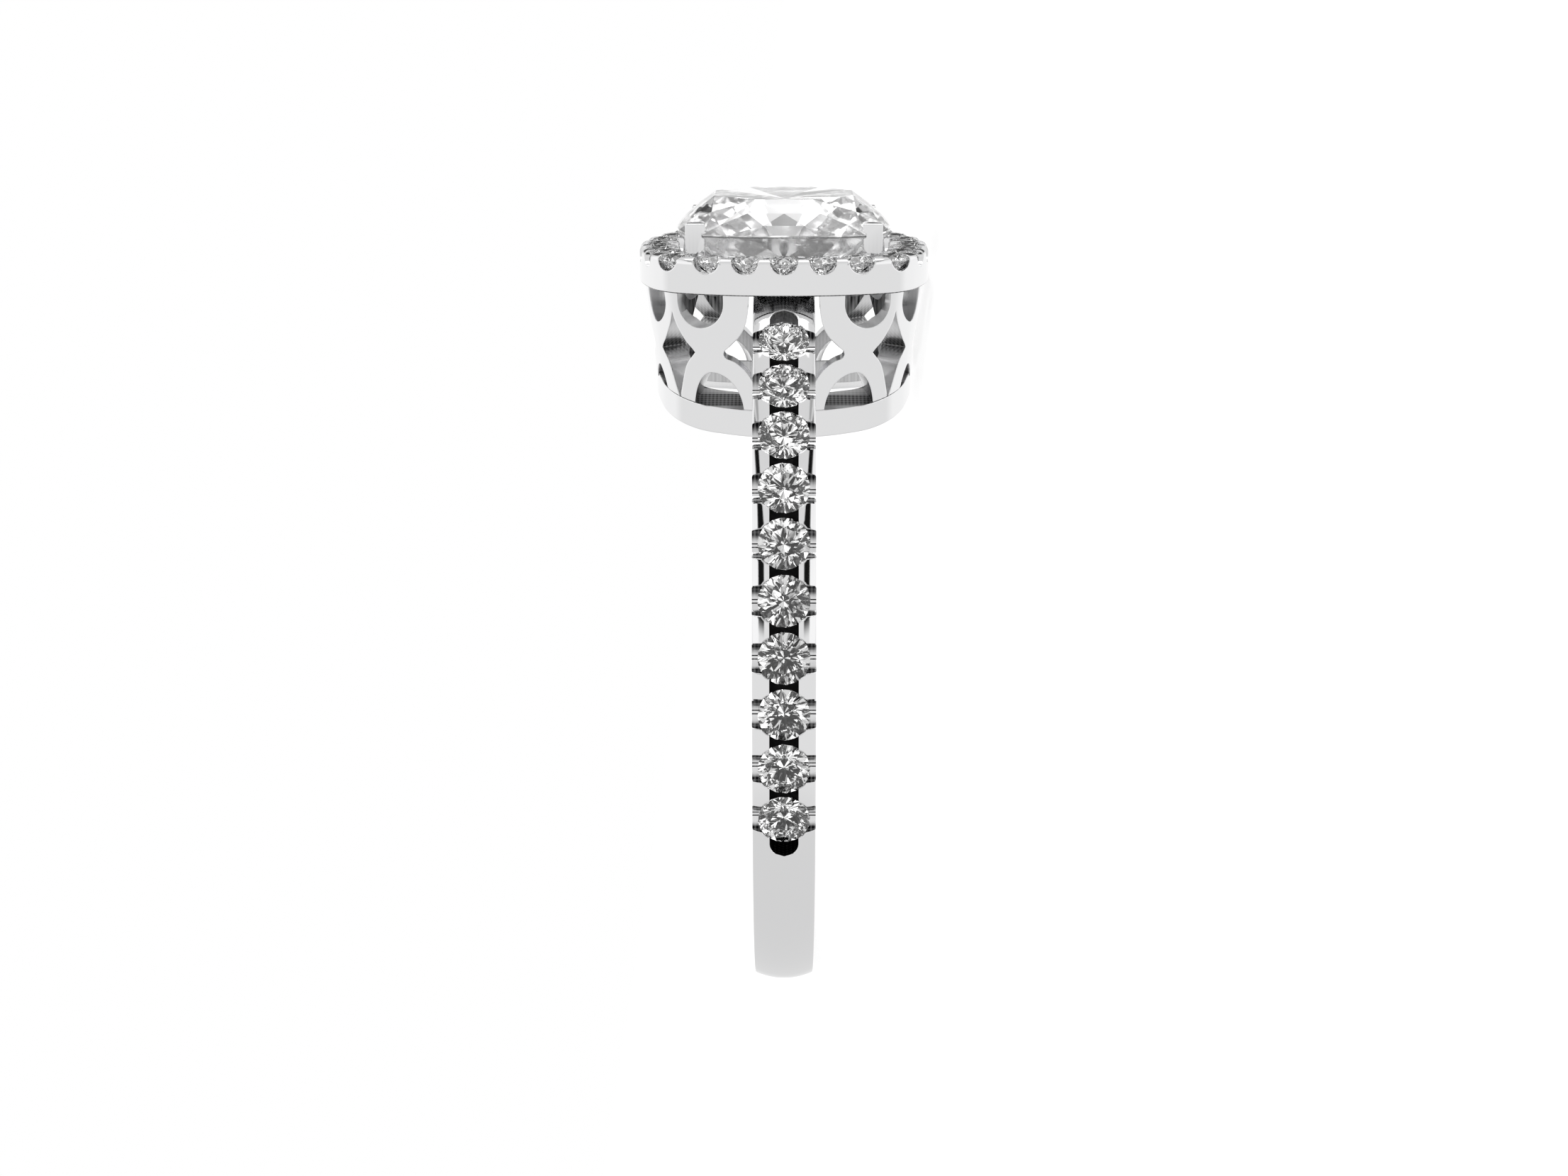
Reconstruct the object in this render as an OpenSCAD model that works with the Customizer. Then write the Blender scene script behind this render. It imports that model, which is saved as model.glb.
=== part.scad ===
// Halo engagement ring: a slim band with stone-set cathedral shoulders, an openwork gallery,
// a cushion-shaped halo rim and a cushion-cut centre stone held by four prongs.
// The ring lies on its side as it rests: +X runs along the head, +Z is up.

/* [Band] */
// Diameter of the finger hole
finger_d = 17.3; // [16.5:0.1:18]
// Width of the band along the finger
band_w = 1.75; // [1.7:0.05:1.9]
// Thickness of the band opposite the head
band_t = 1.36; // [1.3:0.02:1.5]
// Radius of the shoulders' outer curve
shoulder_r = 13.27; // [13.1:0.01:13.4]
// Thickness of a shoulder above its arch window
shoulder_t = 1.6; // [1.5:0.05:1.7]
// Angle below the hole's centre at which the shoulders leave the round
flare_a = 11; // [9:1:13]
// Thickness of the bridge along the hole below the arch window
bridge_t = 0.85; // [0.8:0.05:0.95]

/* [Band stones] */
// Stones set in each shoulder
band_stones = 10; // [8:1:10]
// Diameter of a band stone
band_stone_d = 1.44; // [1.36:0.02:1.46]
// Angle of the stone nearest the head, about the shoulder's centre
first_stone_a = 50.5; // [49.5:0.5:51]
// Angle between two stones
stone_pitch_a = 6.75; // [6.65:0.05:6.85]
// Depth of a band stone's seat below the outer curve
seat_depth = 0.62; // [0.56:0.01:0.66]
// Width of the channel that runs along the stones
channel_w = 0.8; // [0.7:0.05:0.85]
// Depth of that channel
channel_depth = 0.3; // [0.26:0.01:0.34]
// Angle by which the channel runs on past its last stones
channel_run_a = 3; // [2.5:0.1:3.5]
// Radius of the scallop cut across the band at each stone
scallop_r = 0.42; // [0.38:0.01:0.44]

/* [Halo] */
// Half of the halo's width across its flats
halo_half = 4.32; // [4.25:0.01:4.4]
// Radius of the halo's gently curved sides
halo_side_r = 7.34; // [7.2:0.02:7.5]
// Reach of the halo's rounded corners from its centre
halo_corner = 4.79; // [4.74:0.01:4.84]
// Width of the halo's rim, from its outer to its inner wall
rim_w = 1.14; // [1.1:0.01:1.18]
// Height of the rim's underside above the hole's centre
rim_low = 11.9; // [11.85:0.01:11.95]
// Height of the rim's top above the hole's centre
rim_high = 12.93; // [12.9:0.01:12.96]
// Diameter of a halo stone
halo_stone_d = 0.96; // [0.9:0.02:0.98]
// Stones along each side between two corner stones
side_stones = 5; // [3:2:5]
// Angle between two side stones, about the side curve's centre
halo_pitch_a = 9.15; // [9:0.05:9.3]
// Reach of the corner stones from the halo's centre
corner_reach = 4.35; // [4.3:0.01:4.4]
// Radius of the notch cut through the rim at each stone
notch_r = 0.38; // [0.34:0.01:0.4]
// Depth of a halo stone's seat below the rim's top
rim_seat_depth = 0.5; // [0.46:0.01:0.56]

/* [Gallery] */
// Half of the gallery's width under the halo
gallery_top = 4.16; // [4.12:0.01:4.2]
// Half of the gallery's width at its base rail
gallery_base = 3.83; // [3.8:0.01:3.86]
// Radius of the gallery's curved sides at its base
gallery_side_r = 8.13; // [8:0.01:8.3]
// Reach of the gallery's rounded corners at its base
gallery_corner = 4.31; // [4.27:0.01:4.35]
// Thickness of the gallery wall at its base
gallery_wall = 0.78; // [0.72:0.02:0.84]
// Height of the base rail's upper edge above the hole, measured along the edge
rail_h = 0.69; // [0.64:0.01:0.74]

/* [Gallery windows] */
// Height of the waist that all gaps share, above the hole's centre
waist_z = 10.2; // [10.1:0.05:10.3]
// Half width of a side's middle gap under the halo
gap_top_w = 1; // [0.95:0.01:1.05]
// Half width of that gap above its waist
gap_neck_w = 1.29; // [1.2:0.01:1.35]
// Half width of that gap at its waist
gap_waist_w = 1.72; // [1.65:0.01:1.75]
// Half width of that gap at the base rail
gap_foot_w = 0.5; // [0.4:0.05:0.6]
// Half width of a corner gap at its waist
corner_gap_w = 0.66; // [0.6:0.01:0.7]
// Height of a corner gap's upper tip above the hole's centre
corner_tip_z = 11.5; // [11.4:0.05:11.6]
// Height of a corner gap's lower tip above the hole's centre
corner_foot_z = 8.8; // [8.7:0.05:8.9]
// Radius of the hanging upper window in a figure
upper_window_r = 0.75; // [0.7:0.01:0.78]
// Radius of the standing lower window in a figure
lower_window_r = 0.72; // [0.66:0.01:0.74]

/* [Centre stone] */
// Half of the centre stone's width across its flats
stone_half = 3.15; // [3.1:0.01:3.18]
// Squareness of the stone's outline, 2 being a circle
stone_square = 3.7; // [3.4:0.1:3.9]
// Height of the stone's widest line above the hole's centre
girdle_z = 13.45; // [13.42:0.01:13.5]
// Half thickness of the stone's girdle
girdle_t = 0.04; // [0.03:0.01:0.05]
// Height of the crown above the girdle
crown_z = 0.92; // [0.88:0.01:0.96]
// Half of the flat table's width
table_half = 2.05; // [1.95:0.01:2.1]
// Depth of the pavilion below the girdle
pavilion_z = 2.75; // [2.6:0.05:2.8]

/* [Prongs] */
// Width of a square prong
prong_w = 0.6; // [0.56:0.01:0.62]
// Outer face of the prongs from the centre of the head
prong_out = 2.84; // [2.8:0.01:2.85]
// Height of the prongs' tips above the hole's centre
prong_top = 13.93; // [13.88:0.01:13.98]
// Gap between the centre stone and its seats
seat_gap = 0.02; // [0.01:0.005:0.03]

/* [Hidden] */

SMOOTH = 96;
EPS = 0.05;
OUTLINE_STEPS = 32;
SLICE_T = 0.001;

hole_r = finger_d / 2;
base_r = hole_r + band_t;
offset_r = shoulder_r - base_r;
half_w = band_w / 2;
// Centre of the shoulder curves, along the head and across it
sh_x = offset_r * sin(flare_a);
sh_y = offset_r * cos(flare_a);
// Line along the head above which the shoulder curves stand clear of the round
flare_x = -base_r * sin(flare_a) + band_t / 2;
channel_low_a = first_stone_a - (band_stones - 1) * stone_pitch_a - channel_run_a;
channel_high_a = first_stone_a + channel_run_a;

// Channel of the halo stones, clear of the prongs' corners
rim_channel_w = 0.4;
rim_channel_depth = 0.42;

// Inner wall of the gallery, and how far its two lower levels lie above the hole
inner_half = gallery_base - gallery_wall;
gallery_low = hole_r - 1.8;
knee_z = hole_r + 0.19;
// Levels between the waist and the ends of a side's middle gap
gap_neck_z = waist_z + 0.5;
gap_knee_z = waist_z - 0.75;
gap_knee_w = 0.92;
// Figures stand this far round from a side's middle, about the side curve's centre
figure_a = 15.4;
upper_window_at = [0.18, 11.68];
lower_window_at = [-0.28, 8.9];

// Tilt at which the head's lowest edge and the band's far edge both touch the surface
rim_tilt = atan((halo_half - half_w) / (rim_low + base_r));
rail_tilt = atan((gallery_base - half_w) / (hole_r + base_r));
tilt = max(rim_tilt, rail_tilt);
lift = base_r * sin(tilt) + half_w * cos(tilt);
table_z = girdle_z + girdle_t + crown_z;
reach_high = table_z * cos(tilt) + table_half * sin(tilt);
reach_low = -base_r * cos(tilt) - half_w * sin(tilt);
mid_x = (reach_high + reach_low) / 2;

metal_colour = [0.86, 0.86, 0.87];
stone_colour = [0.92, 0.95, 0.98];

// Lays a shape built in the ring's own frame down on the surface
module rest() {
    translate([-mid_x, 0, lift]) rotate([0, -tilt, 0]) children();
}

// Turns a shape built upright, with +Z along the head, into the ring's own frame
module head() {
    rotate([0, 90, 0]) children();
}

// Outline of the shank: the round, and above it the two shoulder curves that meet over the head
module shank_outline() {
    circle(r = base_r, $fn = SMOOTH);
    intersection() {
        translate([sh_x, -sh_y]) circle(r = shoulder_r, $fn = SMOOTH);
        translate([sh_x, sh_y]) circle(r = shoulder_r, $fn = SMOOTH);
        translate([flare_x, -shoulder_r]) square([rim_low + 6 * EPS - flare_x, 2 * shoulder_r]);
    }
}

// Arch window between a shoulder and the bridge along the hole
module arch_window() {
    difference() {
        intersection() {
            translate([sh_x, -sh_y]) circle(r = shoulder_r - shoulder_t, $fn = SMOOTH);
            translate([0, inner_half]) square(shoulder_r);
        }
        circle(r = hole_r + bridge_t, $fn = SMOOTH);
    }
}

// Band with its shoulders, open under the centre stone
module shank() {
    difference() {
        translate([0, 0, -half_w]) linear_extrude(band_w) difference() {
            shank_outline();
            circle(r = hole_r - 8 * EPS, $fn = SMOOTH);
            for (side = [0, 1]) mirror([0, side]) arch_window();
            translate([0, -inner_half - 3 * EPS]) square([shoulder_r, 2 * inner_half + 6 * EPS]);
        }
        for (side = [0, 1]) mirror([0, side, 0]) shoulder_cuts();
    }
}

// Places a shape at an angle on the shoulder's outer curve, with +Z pointing out of the metal
module on_shoulder(angle, sink) {
    translate([sh_x, -sh_y, 0])
        rotate([0, 0, 90 - angle])
            translate([shoulder_r - sink, 0, 0])
                rotate([0, 90, 0]) children();
}

// Seats and scallops of the stones in one shoulder, and the channel between its rows of posts
module shoulder_cuts() {
    for (i = [0 : band_stones - 1]) {
        on_shoulder(first_stone_a - i * stone_pitch_a, seat_depth)
            cylinder(d = band_stone_d + 2 * seat_gap, h = 2 * seat_depth, $fn = SMOOTH);
        on_shoulder(first_stone_a - i * stone_pitch_a, 0)
            rotate([0, 90, 0]) cylinder(r = scallop_r, h = 2 * band_w, center = true, $fn = SMOOTH);
    }
    shoulder_channel();
}

// Channel with two flat walls and a rounded floor that follows the shoulder
module shoulder_channel() {
    translate([sh_x, -sh_y, 0])
        rotate_extrude(angle = channel_high_a - channel_low_a, start = 90 - channel_high_a, $fn = SMOOTH)
            translate([shoulder_r - channel_depth, -channel_w / 2]) square([2 * channel_depth, channel_w]);
}

// Cushion outline: four gently curved sides cut by a round for the corners
module cushion(half, side_r, corner) {
    shift = side_r - half;
    intersection() {
        translate([shift, 0]) circle(r = side_r, $fn = SMOOTH);
        translate([-shift, 0]) circle(r = side_r, $fn = SMOOTH);
        translate([0, shift]) circle(r = side_r, $fn = SMOOTH);
        translate([0, -shift]) circle(r = side_r, $fn = SMOOTH);
        circle(r = corner, $fn = SMOOTH);
    }
}

// Cushion outline of the halo, drawn in by a distance from its outer wall
module halo_outline(inset) {
    cushion(halo_half - inset, halo_side_r - inset, halo_corner - inset);
}

// Cushion outline of the gallery at a given half width
module gallery_outline(half) {
    grow = half - gallery_base;
    cushion(half, gallery_side_r + grow, gallery_corner + grow);
}

// Cushion-shaped solid whose width grows from one height to the other
module tapered_cushion(low, high, half_low, half_high) {
    shift = gallery_side_r - gallery_base;
    intersection() {
        translate([0, 0, low]) cylinder(
            r1 = gallery_corner + half_low - gallery_base,
            r2 = gallery_corner + half_high - gallery_base, h = high - low, $fn = SMOOTH);
        side_cone(0, low, high, half_low + shift, half_high + shift, shift);
        side_cone(90, low, high, half_low + shift, half_high + shift, shift);
        side_cone(180, low, high, half_low + shift, half_high + shift, shift);
        side_cone(270, low, high, half_low + shift, half_high + shift, shift);
    }
}

// One curved side of the tapered cushion
module side_cone(turn, low, high, r_low, r_high, shift) {
    rotate([0, 0, turn]) translate([shift, 0, low])
        cylinder(r1 = r_low, r2 = r_high, h = high - low, $fn = SMOOTH);
}

// Rim that carries the halo stones
module halo_rim() {
    difference() {
        translate([0, 0, rim_low]) linear_extrude(rim_high - rim_low) difference() {
            halo_outline(0);
            halo_outline(rim_w);
        }
        halo_cuts();
    }
}

// Seats, notches and channel of the halo stones
module halo_cuts() {
    shift = halo_side_r - halo_half;
    line_r = halo_side_r - rim_w / 2;
    side_span = (side_stones - 1) / 2;
    for (turn = [0 : 90 : 270]) rotate([0, 0, turn]) {
        for (i = [-side_span : side_span])
            translate([-shift, 0, rim_high]) rotate([0, 0, i * halo_pitch_a])
                translate([line_r, 0, 0]) halo_seat();
        rotate([0, 0, 45]) translate([corner_reach, 0, rim_high]) halo_seat();
    }
    translate([0, 0, rim_high - rim_channel_depth]) linear_extrude(2 * rim_channel_depth) difference() {
        halo_outline((rim_w - rim_channel_w) / 2);
        halo_outline((rim_w + rim_channel_w) / 2);
    }
}

// Seat of one halo stone and the notch that opens it to both walls
module halo_seat() {
    translate([0, 0, -rim_seat_depth])
        cylinder(d = halo_stone_d + 2 * seat_gap, h = 2 * rim_seat_depth, $fn = SMOOTH);
    rotate([0, 90, 0]) cylinder(r = notch_r, h = 2 * rim_w, center = true, $fn = SMOOTH);
}

// Gallery wall: a tapering cushion-shaped basket, pierced all round
module gallery() {
    difference() {
        union() {
            translate([0, 0, gallery_low]) linear_extrude(knee_z - gallery_low) gallery_outline(gallery_base);
            tapered_cushion(knee_z, rim_low + EPS, gallery_base, gallery_top);
        }
        translate([0, 0, gallery_low - EPS]) linear_extrude(rim_high - gallery_low)
            gallery_outline(inner_half);
        gallery_openings();
    }
}

// All openings of the gallery, kept clear of its base rail
module gallery_openings() {
    difference() {
        for (turn = [0 : 90 : 270]) rotate([0, 0, turn]) {
            middle_opening();
            rotate([0, 0, 45]) corner_opening();
            for (side = [0, 1]) mirror([0, side, 0]) figure_windows();
        }
        rotate([0, 90, 0]) cylinder(r = hole_r + rail_h, h = 3 * gallery_top, center = true, $fn = SMOOTH);
    }
}

// Stretches an outline that lies in the wall's plane out through the wall at +X
module through_wall() {
    from = inner_half - 1;
    translate([from, 0, 0]) rotate([90, 0, 90]) linear_extrude(gallery_corner + 1 - from) children();
}

// Gap at the middle of a side, wide at its waist
module middle_opening() {
    half = [
        [gap_top_w, rim_low], [gap_neck_w, gap_neck_z], [gap_waist_w, waist_z],
        [gap_knee_w, gap_knee_z], [gap_foot_w, gallery_low]
    ];
    through_wall() for (side = [0, 1]) mirror([side, 0])
        polygon(concat([[-EPS, gallery_low], [-EPS, rim_low]], half));
}

// Diamond-shaped gap at a corner
module corner_opening() {
    through_wall() polygon([
        [0, corner_tip_z], [corner_gap_w, waist_z], [0, corner_foot_z], [-corner_gap_w, waist_z]
    ]);
}

// The hanging upper window and the standing lower window of one figure
module figure_windows() {
    shift = gallery_side_r - gallery_base;
    translate([-shift, 0, 0]) rotate([0, 0, figure_a]) translate([shift, 0, 0]) through_wall() {
        intersection() {
            translate(upper_window_at) circle(r = upper_window_r, $fn = SMOOTH);
            translate([-gap_waist_w, waist_z]) square([2 * gap_waist_w, rim_low - waist_z]);
        }
        translate(lower_window_at) circle(r = lower_window_r, $fn = SMOOTH);
        translate([lower_window_at[0] - lower_window_r, gallery_low])
            square([2 * lower_window_r, lower_window_at[1] - gallery_low]);
    }
}

// Outline of the centre stone at a given half width
function squircle(half, count) = [
    for (i = [0 : count - 1])
        let (
            a = 360 * i / count,
            reach = pow(pow(abs(cos(a)), stone_square) + pow(abs(sin(a)), stone_square), -1 / stone_square)
        )
        half * reach * [cos(a), sin(a)]
];

// Flat slice of the centre stone, used as one level of its hull
module slice(half, height) {
    translate([0, 0, height]) linear_extrude(SLICE_T) polygon(squircle(half, OUTLINE_STEPS));
}

// Cushion-cut solid, grown evenly by a gap where it serves as a seat
module cushion_cut(grow) {
    belly_part = [0.62, 0.46];
    culet = 0.12;
    hull() {
        slice(table_half + grow / 2, table_z + grow);
        slice(stone_half + grow, girdle_z + girdle_t + grow / 3);
        slice(stone_half + grow, girdle_z - girdle_t - grow / 3);
        slice(stone_half * belly_part[0] + grow, girdle_z - pavilion_z * belly_part[1] - grow);
        slice(culet, girdle_z - pavilion_z - grow);
    }
}

// Four square prongs that rise from the rim's inner wall and clasp the stone's corners
module prongs() {
    difference() {
        for (turn = [0 : 90 : 270]) rotate([0, 0, turn])
            translate([prong_out - prong_w, prong_out - prong_w, rim_low + EPS])
                cube([prong_w, prong_w, prong_top - rim_low - EPS]);
        cushion_cut(seat_gap);
    }
}

module band_and_setting() {
    color(metal_colour) rest() difference() {
        union() {
            shank();
            head() {
                gallery();
                halo_rim();
                prongs();
            }
        }
        cylinder(r = hole_r, h = 4 * gallery_top, center = true, $fn = SMOOTH);
    }
}

module centre_stone() {
    color(stone_colour) rest() head() cushion_cut(0);
}

band_and_setting();
centre_stone();
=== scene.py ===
"""Looks of a halo engagement ring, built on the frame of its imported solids.

Every piece is modelled upright in millimetres, with +X along the finger, -Y towards the side
that the camera sees and +Z along the head, and is then laid down with the ring on its side.
"""

import logging
import math
from collections.abc import Callable, Iterable
from dataclasses import dataclass, field
from enum import Enum
from functools import reduce

import bmesh
import bpy
from mathutils import Matrix, Vector

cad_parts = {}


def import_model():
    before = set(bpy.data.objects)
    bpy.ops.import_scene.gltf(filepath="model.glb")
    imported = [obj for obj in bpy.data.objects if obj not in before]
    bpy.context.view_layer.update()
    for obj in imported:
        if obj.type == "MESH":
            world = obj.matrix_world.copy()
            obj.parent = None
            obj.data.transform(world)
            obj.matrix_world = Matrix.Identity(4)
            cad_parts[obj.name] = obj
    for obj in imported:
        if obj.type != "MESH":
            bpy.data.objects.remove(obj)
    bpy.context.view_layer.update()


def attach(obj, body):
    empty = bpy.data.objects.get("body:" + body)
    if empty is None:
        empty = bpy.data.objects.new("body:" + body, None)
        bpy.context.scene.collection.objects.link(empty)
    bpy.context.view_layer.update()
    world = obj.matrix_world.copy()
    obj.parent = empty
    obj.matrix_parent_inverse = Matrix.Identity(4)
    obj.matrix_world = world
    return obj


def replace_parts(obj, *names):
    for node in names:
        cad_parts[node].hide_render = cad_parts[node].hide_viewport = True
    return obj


LOG = logging.getLogger("halo_ring")
MM = 0.001
FULL_TURN = 2 * math.pi
QUARTER_TURN = math.pi / 2
MERGE_DISTANCE = 2e-4
WELD_DISTANCE = 1e-6
FLAT_ANGLE = math.radians(0.6)
# Face-corner attribute that carries the painted shade (how dark) and how matt a surface is.
SHADE_ATTRIBUTE = "painted_shade"

Pair = tuple[float, float]
Colour = tuple[float, float, float]
Mesh = bmesh.types.BMesh
Thing = bpy.types.Object
Material = bpy.types.Material
Socket = bpy.types.NodeSocket


class Slot(Enum):
    """Material slots of the record."""

    METAL = "metal"
    STONE = "centre_stone"


class Quarter(Enum):
    """Sides of the square head, as turns about its axis."""

    FRONT = 0
    RIGHT = 1
    BACK = 2
    LEFT = 3

    @property
    def angle(self) -> float:
        """Angle of the side's middle about the head, in radians."""
        return (self.value - 1) * QUARTER_TURN


class Way(Enum):
    """Axes of the upright ring that a looked-at direction can lean along."""

    ASIDE = (1, 0, 0)
    ALONG = (0, 1, 0)
    UP = (0, 0, 1)


Mask = tuple[Way, Pair, Pair]


def ease(value: float, low: float, high: float) -> float:
    """Smooth step of a value from 0 at one bound to 1 at the other."""
    part = min(1.0, max(0.0, (value - low) / (high - low)))
    return part * part * (3 - 2 * part)


@dataclass(frozen=True)
class RingSizes:
    """Sizes in millimetres that several sub-assemblies share."""

    hole_r: float = 8.65
    base_r: float = 10.01
    half_w: float = 0.875
    crown_h: float = 0.19
    shoulder_r: float = 13.27
    flare: float = math.radians(11)
    shoulder_t: float = 1.6
    bridge_t: float = 0.85
    rim_low: float = 11.9
    rim_high: float = 12.93
    rail_h: float = 0.69

    @property
    def shoulder_centre(self) -> Vector:
        """Centre of the far shoulder's curve, across the ring and along the head."""
        offset = self.shoulder_r - self.base_r
        return Vector((offset * math.cos(self.flare), offset * math.sin(self.flare)))

    def outer(self, angle: float) -> float:
        """Distance from the hole's centre to the shank's outer face.

        Args:
            angle: Angle from the head's axis, in radians.

        Returns:
            The distance in millimetres.
        """
        across, along = abs(math.sin(angle)), math.cos(angle)
        if along < -math.sin(self.flare):
            return self.base_r
        centre = self.shoulder_centre
        reach = -across * centre.x + along * centre.y
        return reach + math.sqrt(reach**2 + self.shoulder_r**2 - centre.length_squared)


@dataclass(frozen=True)
class Rest:
    """How the upright ring is laid down on the surface."""

    tilt: float = math.atan((3.83 - 0.875) / (8.65 + 10.01))
    middle: float = 2.2648140
    lift: float = 2.4299051

    @property
    def turn(self) -> Matrix:
        """Turn from the upright frame to the row's frame."""
        return Matrix.Rotation(-self.tilt, 4, "Y") @ Matrix.Rotation(QUARTER_TURN, 4, "Y")

    @property
    def matrix(self) -> Matrix:
        """Whole change from upright millimetres to the row's metres."""
        place = Matrix.Translation((-self.middle, 0, self.lift))
        return Matrix.Scale(MM, 4) @ place @ self.turn

    def laid(self, axis: Iterable[float]) -> Vector:
        """Direction in the row's frame of an axis of the upright ring."""
        return self.turn.to_3x3() @ Vector(axis)


@dataclass(frozen=True)
class Cushion:
    """Cushion outline: four gently curved sides joined by round corners."""

    half: float
    side_r: float
    corner_r: float

    @property
    def shift(self) -> float:
        """Distance from a side curve's centre to the outline's centre."""
        return self.side_r - self.half

    @property
    def corner_at(self) -> float:
        """Distance of the corner's centre from both middle lines."""
        free = self.side_r - self.corner_r
        return (-self.shift + math.sqrt(2 * free**2 - self.shift**2)) / 2

    @property
    def side_end(self) -> float:
        """Direction of the wall's normal where a side meets its corner, in radians."""
        return math.atan2(self.corner_at, self.corner_at + self.shift)

    def inset(self, depth: float) -> "Cushion":
        """Same outline drawn in by a depth."""
        return Cushion(self.half - depth, self.side_r - depth, self.corner_r - depth)

    def side_point(self, angle: float, depth: float = 0.0) -> Vector:
        """Point on the side whose middle faces +X.

        Args:
            angle: Direction of the wall's normal, up to 45 degrees either way.
            depth: Distance inside the outline.

        Returns:
            The point.
        """
        if abs(angle) <= self.side_end:
            centre, radius = Vector((-self.shift, 0)), self.side_r
        else:
            corner = self.corner_at
            centre, radius = Vector((corner, math.copysign(corner, angle))), self.corner_r
        return centre + Vector((math.cos(angle), math.sin(angle))) * (radius - depth)

    def wrap(self, turn: float, depth: float) -> Vector:
        """Point of the outline for a plain angle round the head.

        Args:
            turn: Angle about the head's axis, in radians.
            depth: Distance inside the outline.

        Returns:
            The point, spread so that sides and corners get even spacing.
        """
        quarter = round(turn / QUARTER_TURN)
        local = turn - quarter * QUARTER_TURN
        side_len = self.side_r * self.side_end
        whole = side_len + self.corner_r * (QUARTER_TURN / 2 - self.side_end)
        along = abs(local) / (QUARTER_TURN / 2) * whole
        if along <= side_len:
            normal = along / self.side_r
        else:
            normal = self.side_end + (along - side_len) / self.corner_r
        point = self.side_point(math.copysign(normal, local), depth)
        return Matrix.Rotation(quarter * QUARTER_TURN, 2) @ point

    def swept(self, section: list[Pair], steps: int) -> Mesh:
        """Sweeps a section round the outline.

        Args:
            section: Depths inside the outline and heights.
            steps: Number of steps of the round.

        Returns:
            The closed ring.
        """
        base = 10.0
        bm = Bench.spun([(base - depth, height) for depth, height in section], steps)
        for vert in bm.verts:
            depth = base - math.hypot(vert.co.x, vert.co.y)
            point = self.wrap(math.atan2(vert.co.y, vert.co.x), depth)
            vert.co = Vector((point.x, point.y, vert.co.z))
        bmesh.ops.recalc_face_normals(bm, faces=bm.faces)
        return bm


class Wiring:
    """Adds and joins the nodes of one node tree."""

    def __init__(self, tree: bpy.types.NodeTree) -> None:
        """Takes the node tree."""
        self.tree = tree

    def put(self, node: bpy.types.Node, inputs: dict[str | int, object]) -> None:
        """Fills inputs of a node.

        Args:
            node: The node.
            inputs: What each input gets: a socket to join, or a plain value.
        """
        for name, value in inputs.items():
            if isinstance(value, Socket):
                self.tree.links.new(value, node.inputs[name])
            else:
                node.inputs[name].default_value = value

    def add(
        self, kind: str, inputs: dict[str | int, object] | None = None, **options: object
    ) -> bpy.types.Node:
        """Adds a node.

        Args:
            kind: Blender's name of the node after the word ShaderNode.
            inputs: What each input gets: a socket to join, or a plain value.
            options: The node's settings.

        Returns:
            The node.
        """
        node = self.tree.nodes.new(f"ShaderNode{kind}")
        for option, value in options.items():
            setattr(node, option, value)
        self.put(node, inputs or {})
        return node

    def worked(self, operation: str, *values: Socket) -> Socket:
        """Works one sum on values, two at a time where there are more.

        Args:
            operation: Blender's name of the sum.
            values: The values.

        Returns:
            The result.
        """
        if len(values) == 1:
            return self.add("Math", {0: values[0]}, operation=operation).outputs[0]
        return reduce(
            lambda one, two: self.add("Math", {0: one, 1: two}, operation=operation).outputs[0],
            values,
        )

    def faded(
        self, value: Socket, over: Pair, to: tuple[object, object], way: str = "LINEAR"
    ) -> Socket:
        """Fades between two shades while a value goes from one bound to another.

        Args:
            value: The value to read.
            over: Its two bounds.
            to: The shades at those bounds, each a number or a socket.
            way: Blender's name of the fading curve.

        Returns:
            The shade.
        """
        names = ("Value", "From Min", "From Max", "To Min", "To Max")
        inputs = dict(zip(names, (value, *over, *to)))
        return self.add("MapRange", inputs, interpolation_type=way).outputs["Result"]

    def mixed(self, factor: object, first: object, second: object, **options: str) -> Socket:
        """Mixes two colours, each a colour or a socket."""
        inputs = {"Factor": factor, "A": first, "B": second}
        return self.add("Mix", inputs, **{"data_type": "RGBA", **options}).outputs["Result"]

    def noise(self, scale: float, detail: float = 2.0, place: str = "Object") -> Socket:
        """Soft random pattern in space.

        Args:
            scale: How fine it is.
            detail: How many finer patterns are added.
            place: Blender's name of the coordinates it follows.

        Returns:
            Its height, about 0 to 1.
        """
        at = self.add("TexCoord").outputs[place]
        inputs = {"Scale": scale, "Detail": detail, "Vector": at}
        return self.add("TexNoise", inputs).outputs["Fac"]

    def ramp(self, value: Socket, stops: Iterable[tuple[float, Colour]]) -> Socket:
        """Turns a value into colours.

        Args:
            value: The value to read.
            stops: Positions from 0 to 1 in order, each with its colour.

        Returns:
            The colour.
        """
        node = self.add("ValToRGB", {"Fac": value})
        elements, stops = node.color_ramp.elements, list(stops)
        while len(elements) < len(stops):
            elements.new(0.5)
        for element, (at, colour) in zip(elements, stops):
            element.position = at
            element.color = (*colour, 1)
        return node.outputs["Color"]

    def lean(self, axis: Iterable[float]) -> Socket:
        """How far the looked-at direction leans along an axis of the upright ring.

        Args:
            axis: The axis.

        Returns:
            The cosine of the angle between them.
        """
        at = self.add("TexCoord").outputs["Generated"]
        inputs = {0: at, 1: Bench.rest.laid(axis)}
        return self.add("VectorMath", inputs, operation="DOT_PRODUCT").outputs["Value"]

    def painted(self) -> tuple[Socket, Socket]:
        """Reads the shade that is painted on the piece.

        Returns:
            How dark and how matt the surface is.
        """
        shade = self.add("Attribute", attribute_name=SHADE_ATTRIBUTE).outputs["Color"]
        parts = self.add("SeparateColor", {"Color": shade}).outputs
        return parts["Red"], parts["Green"]


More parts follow.
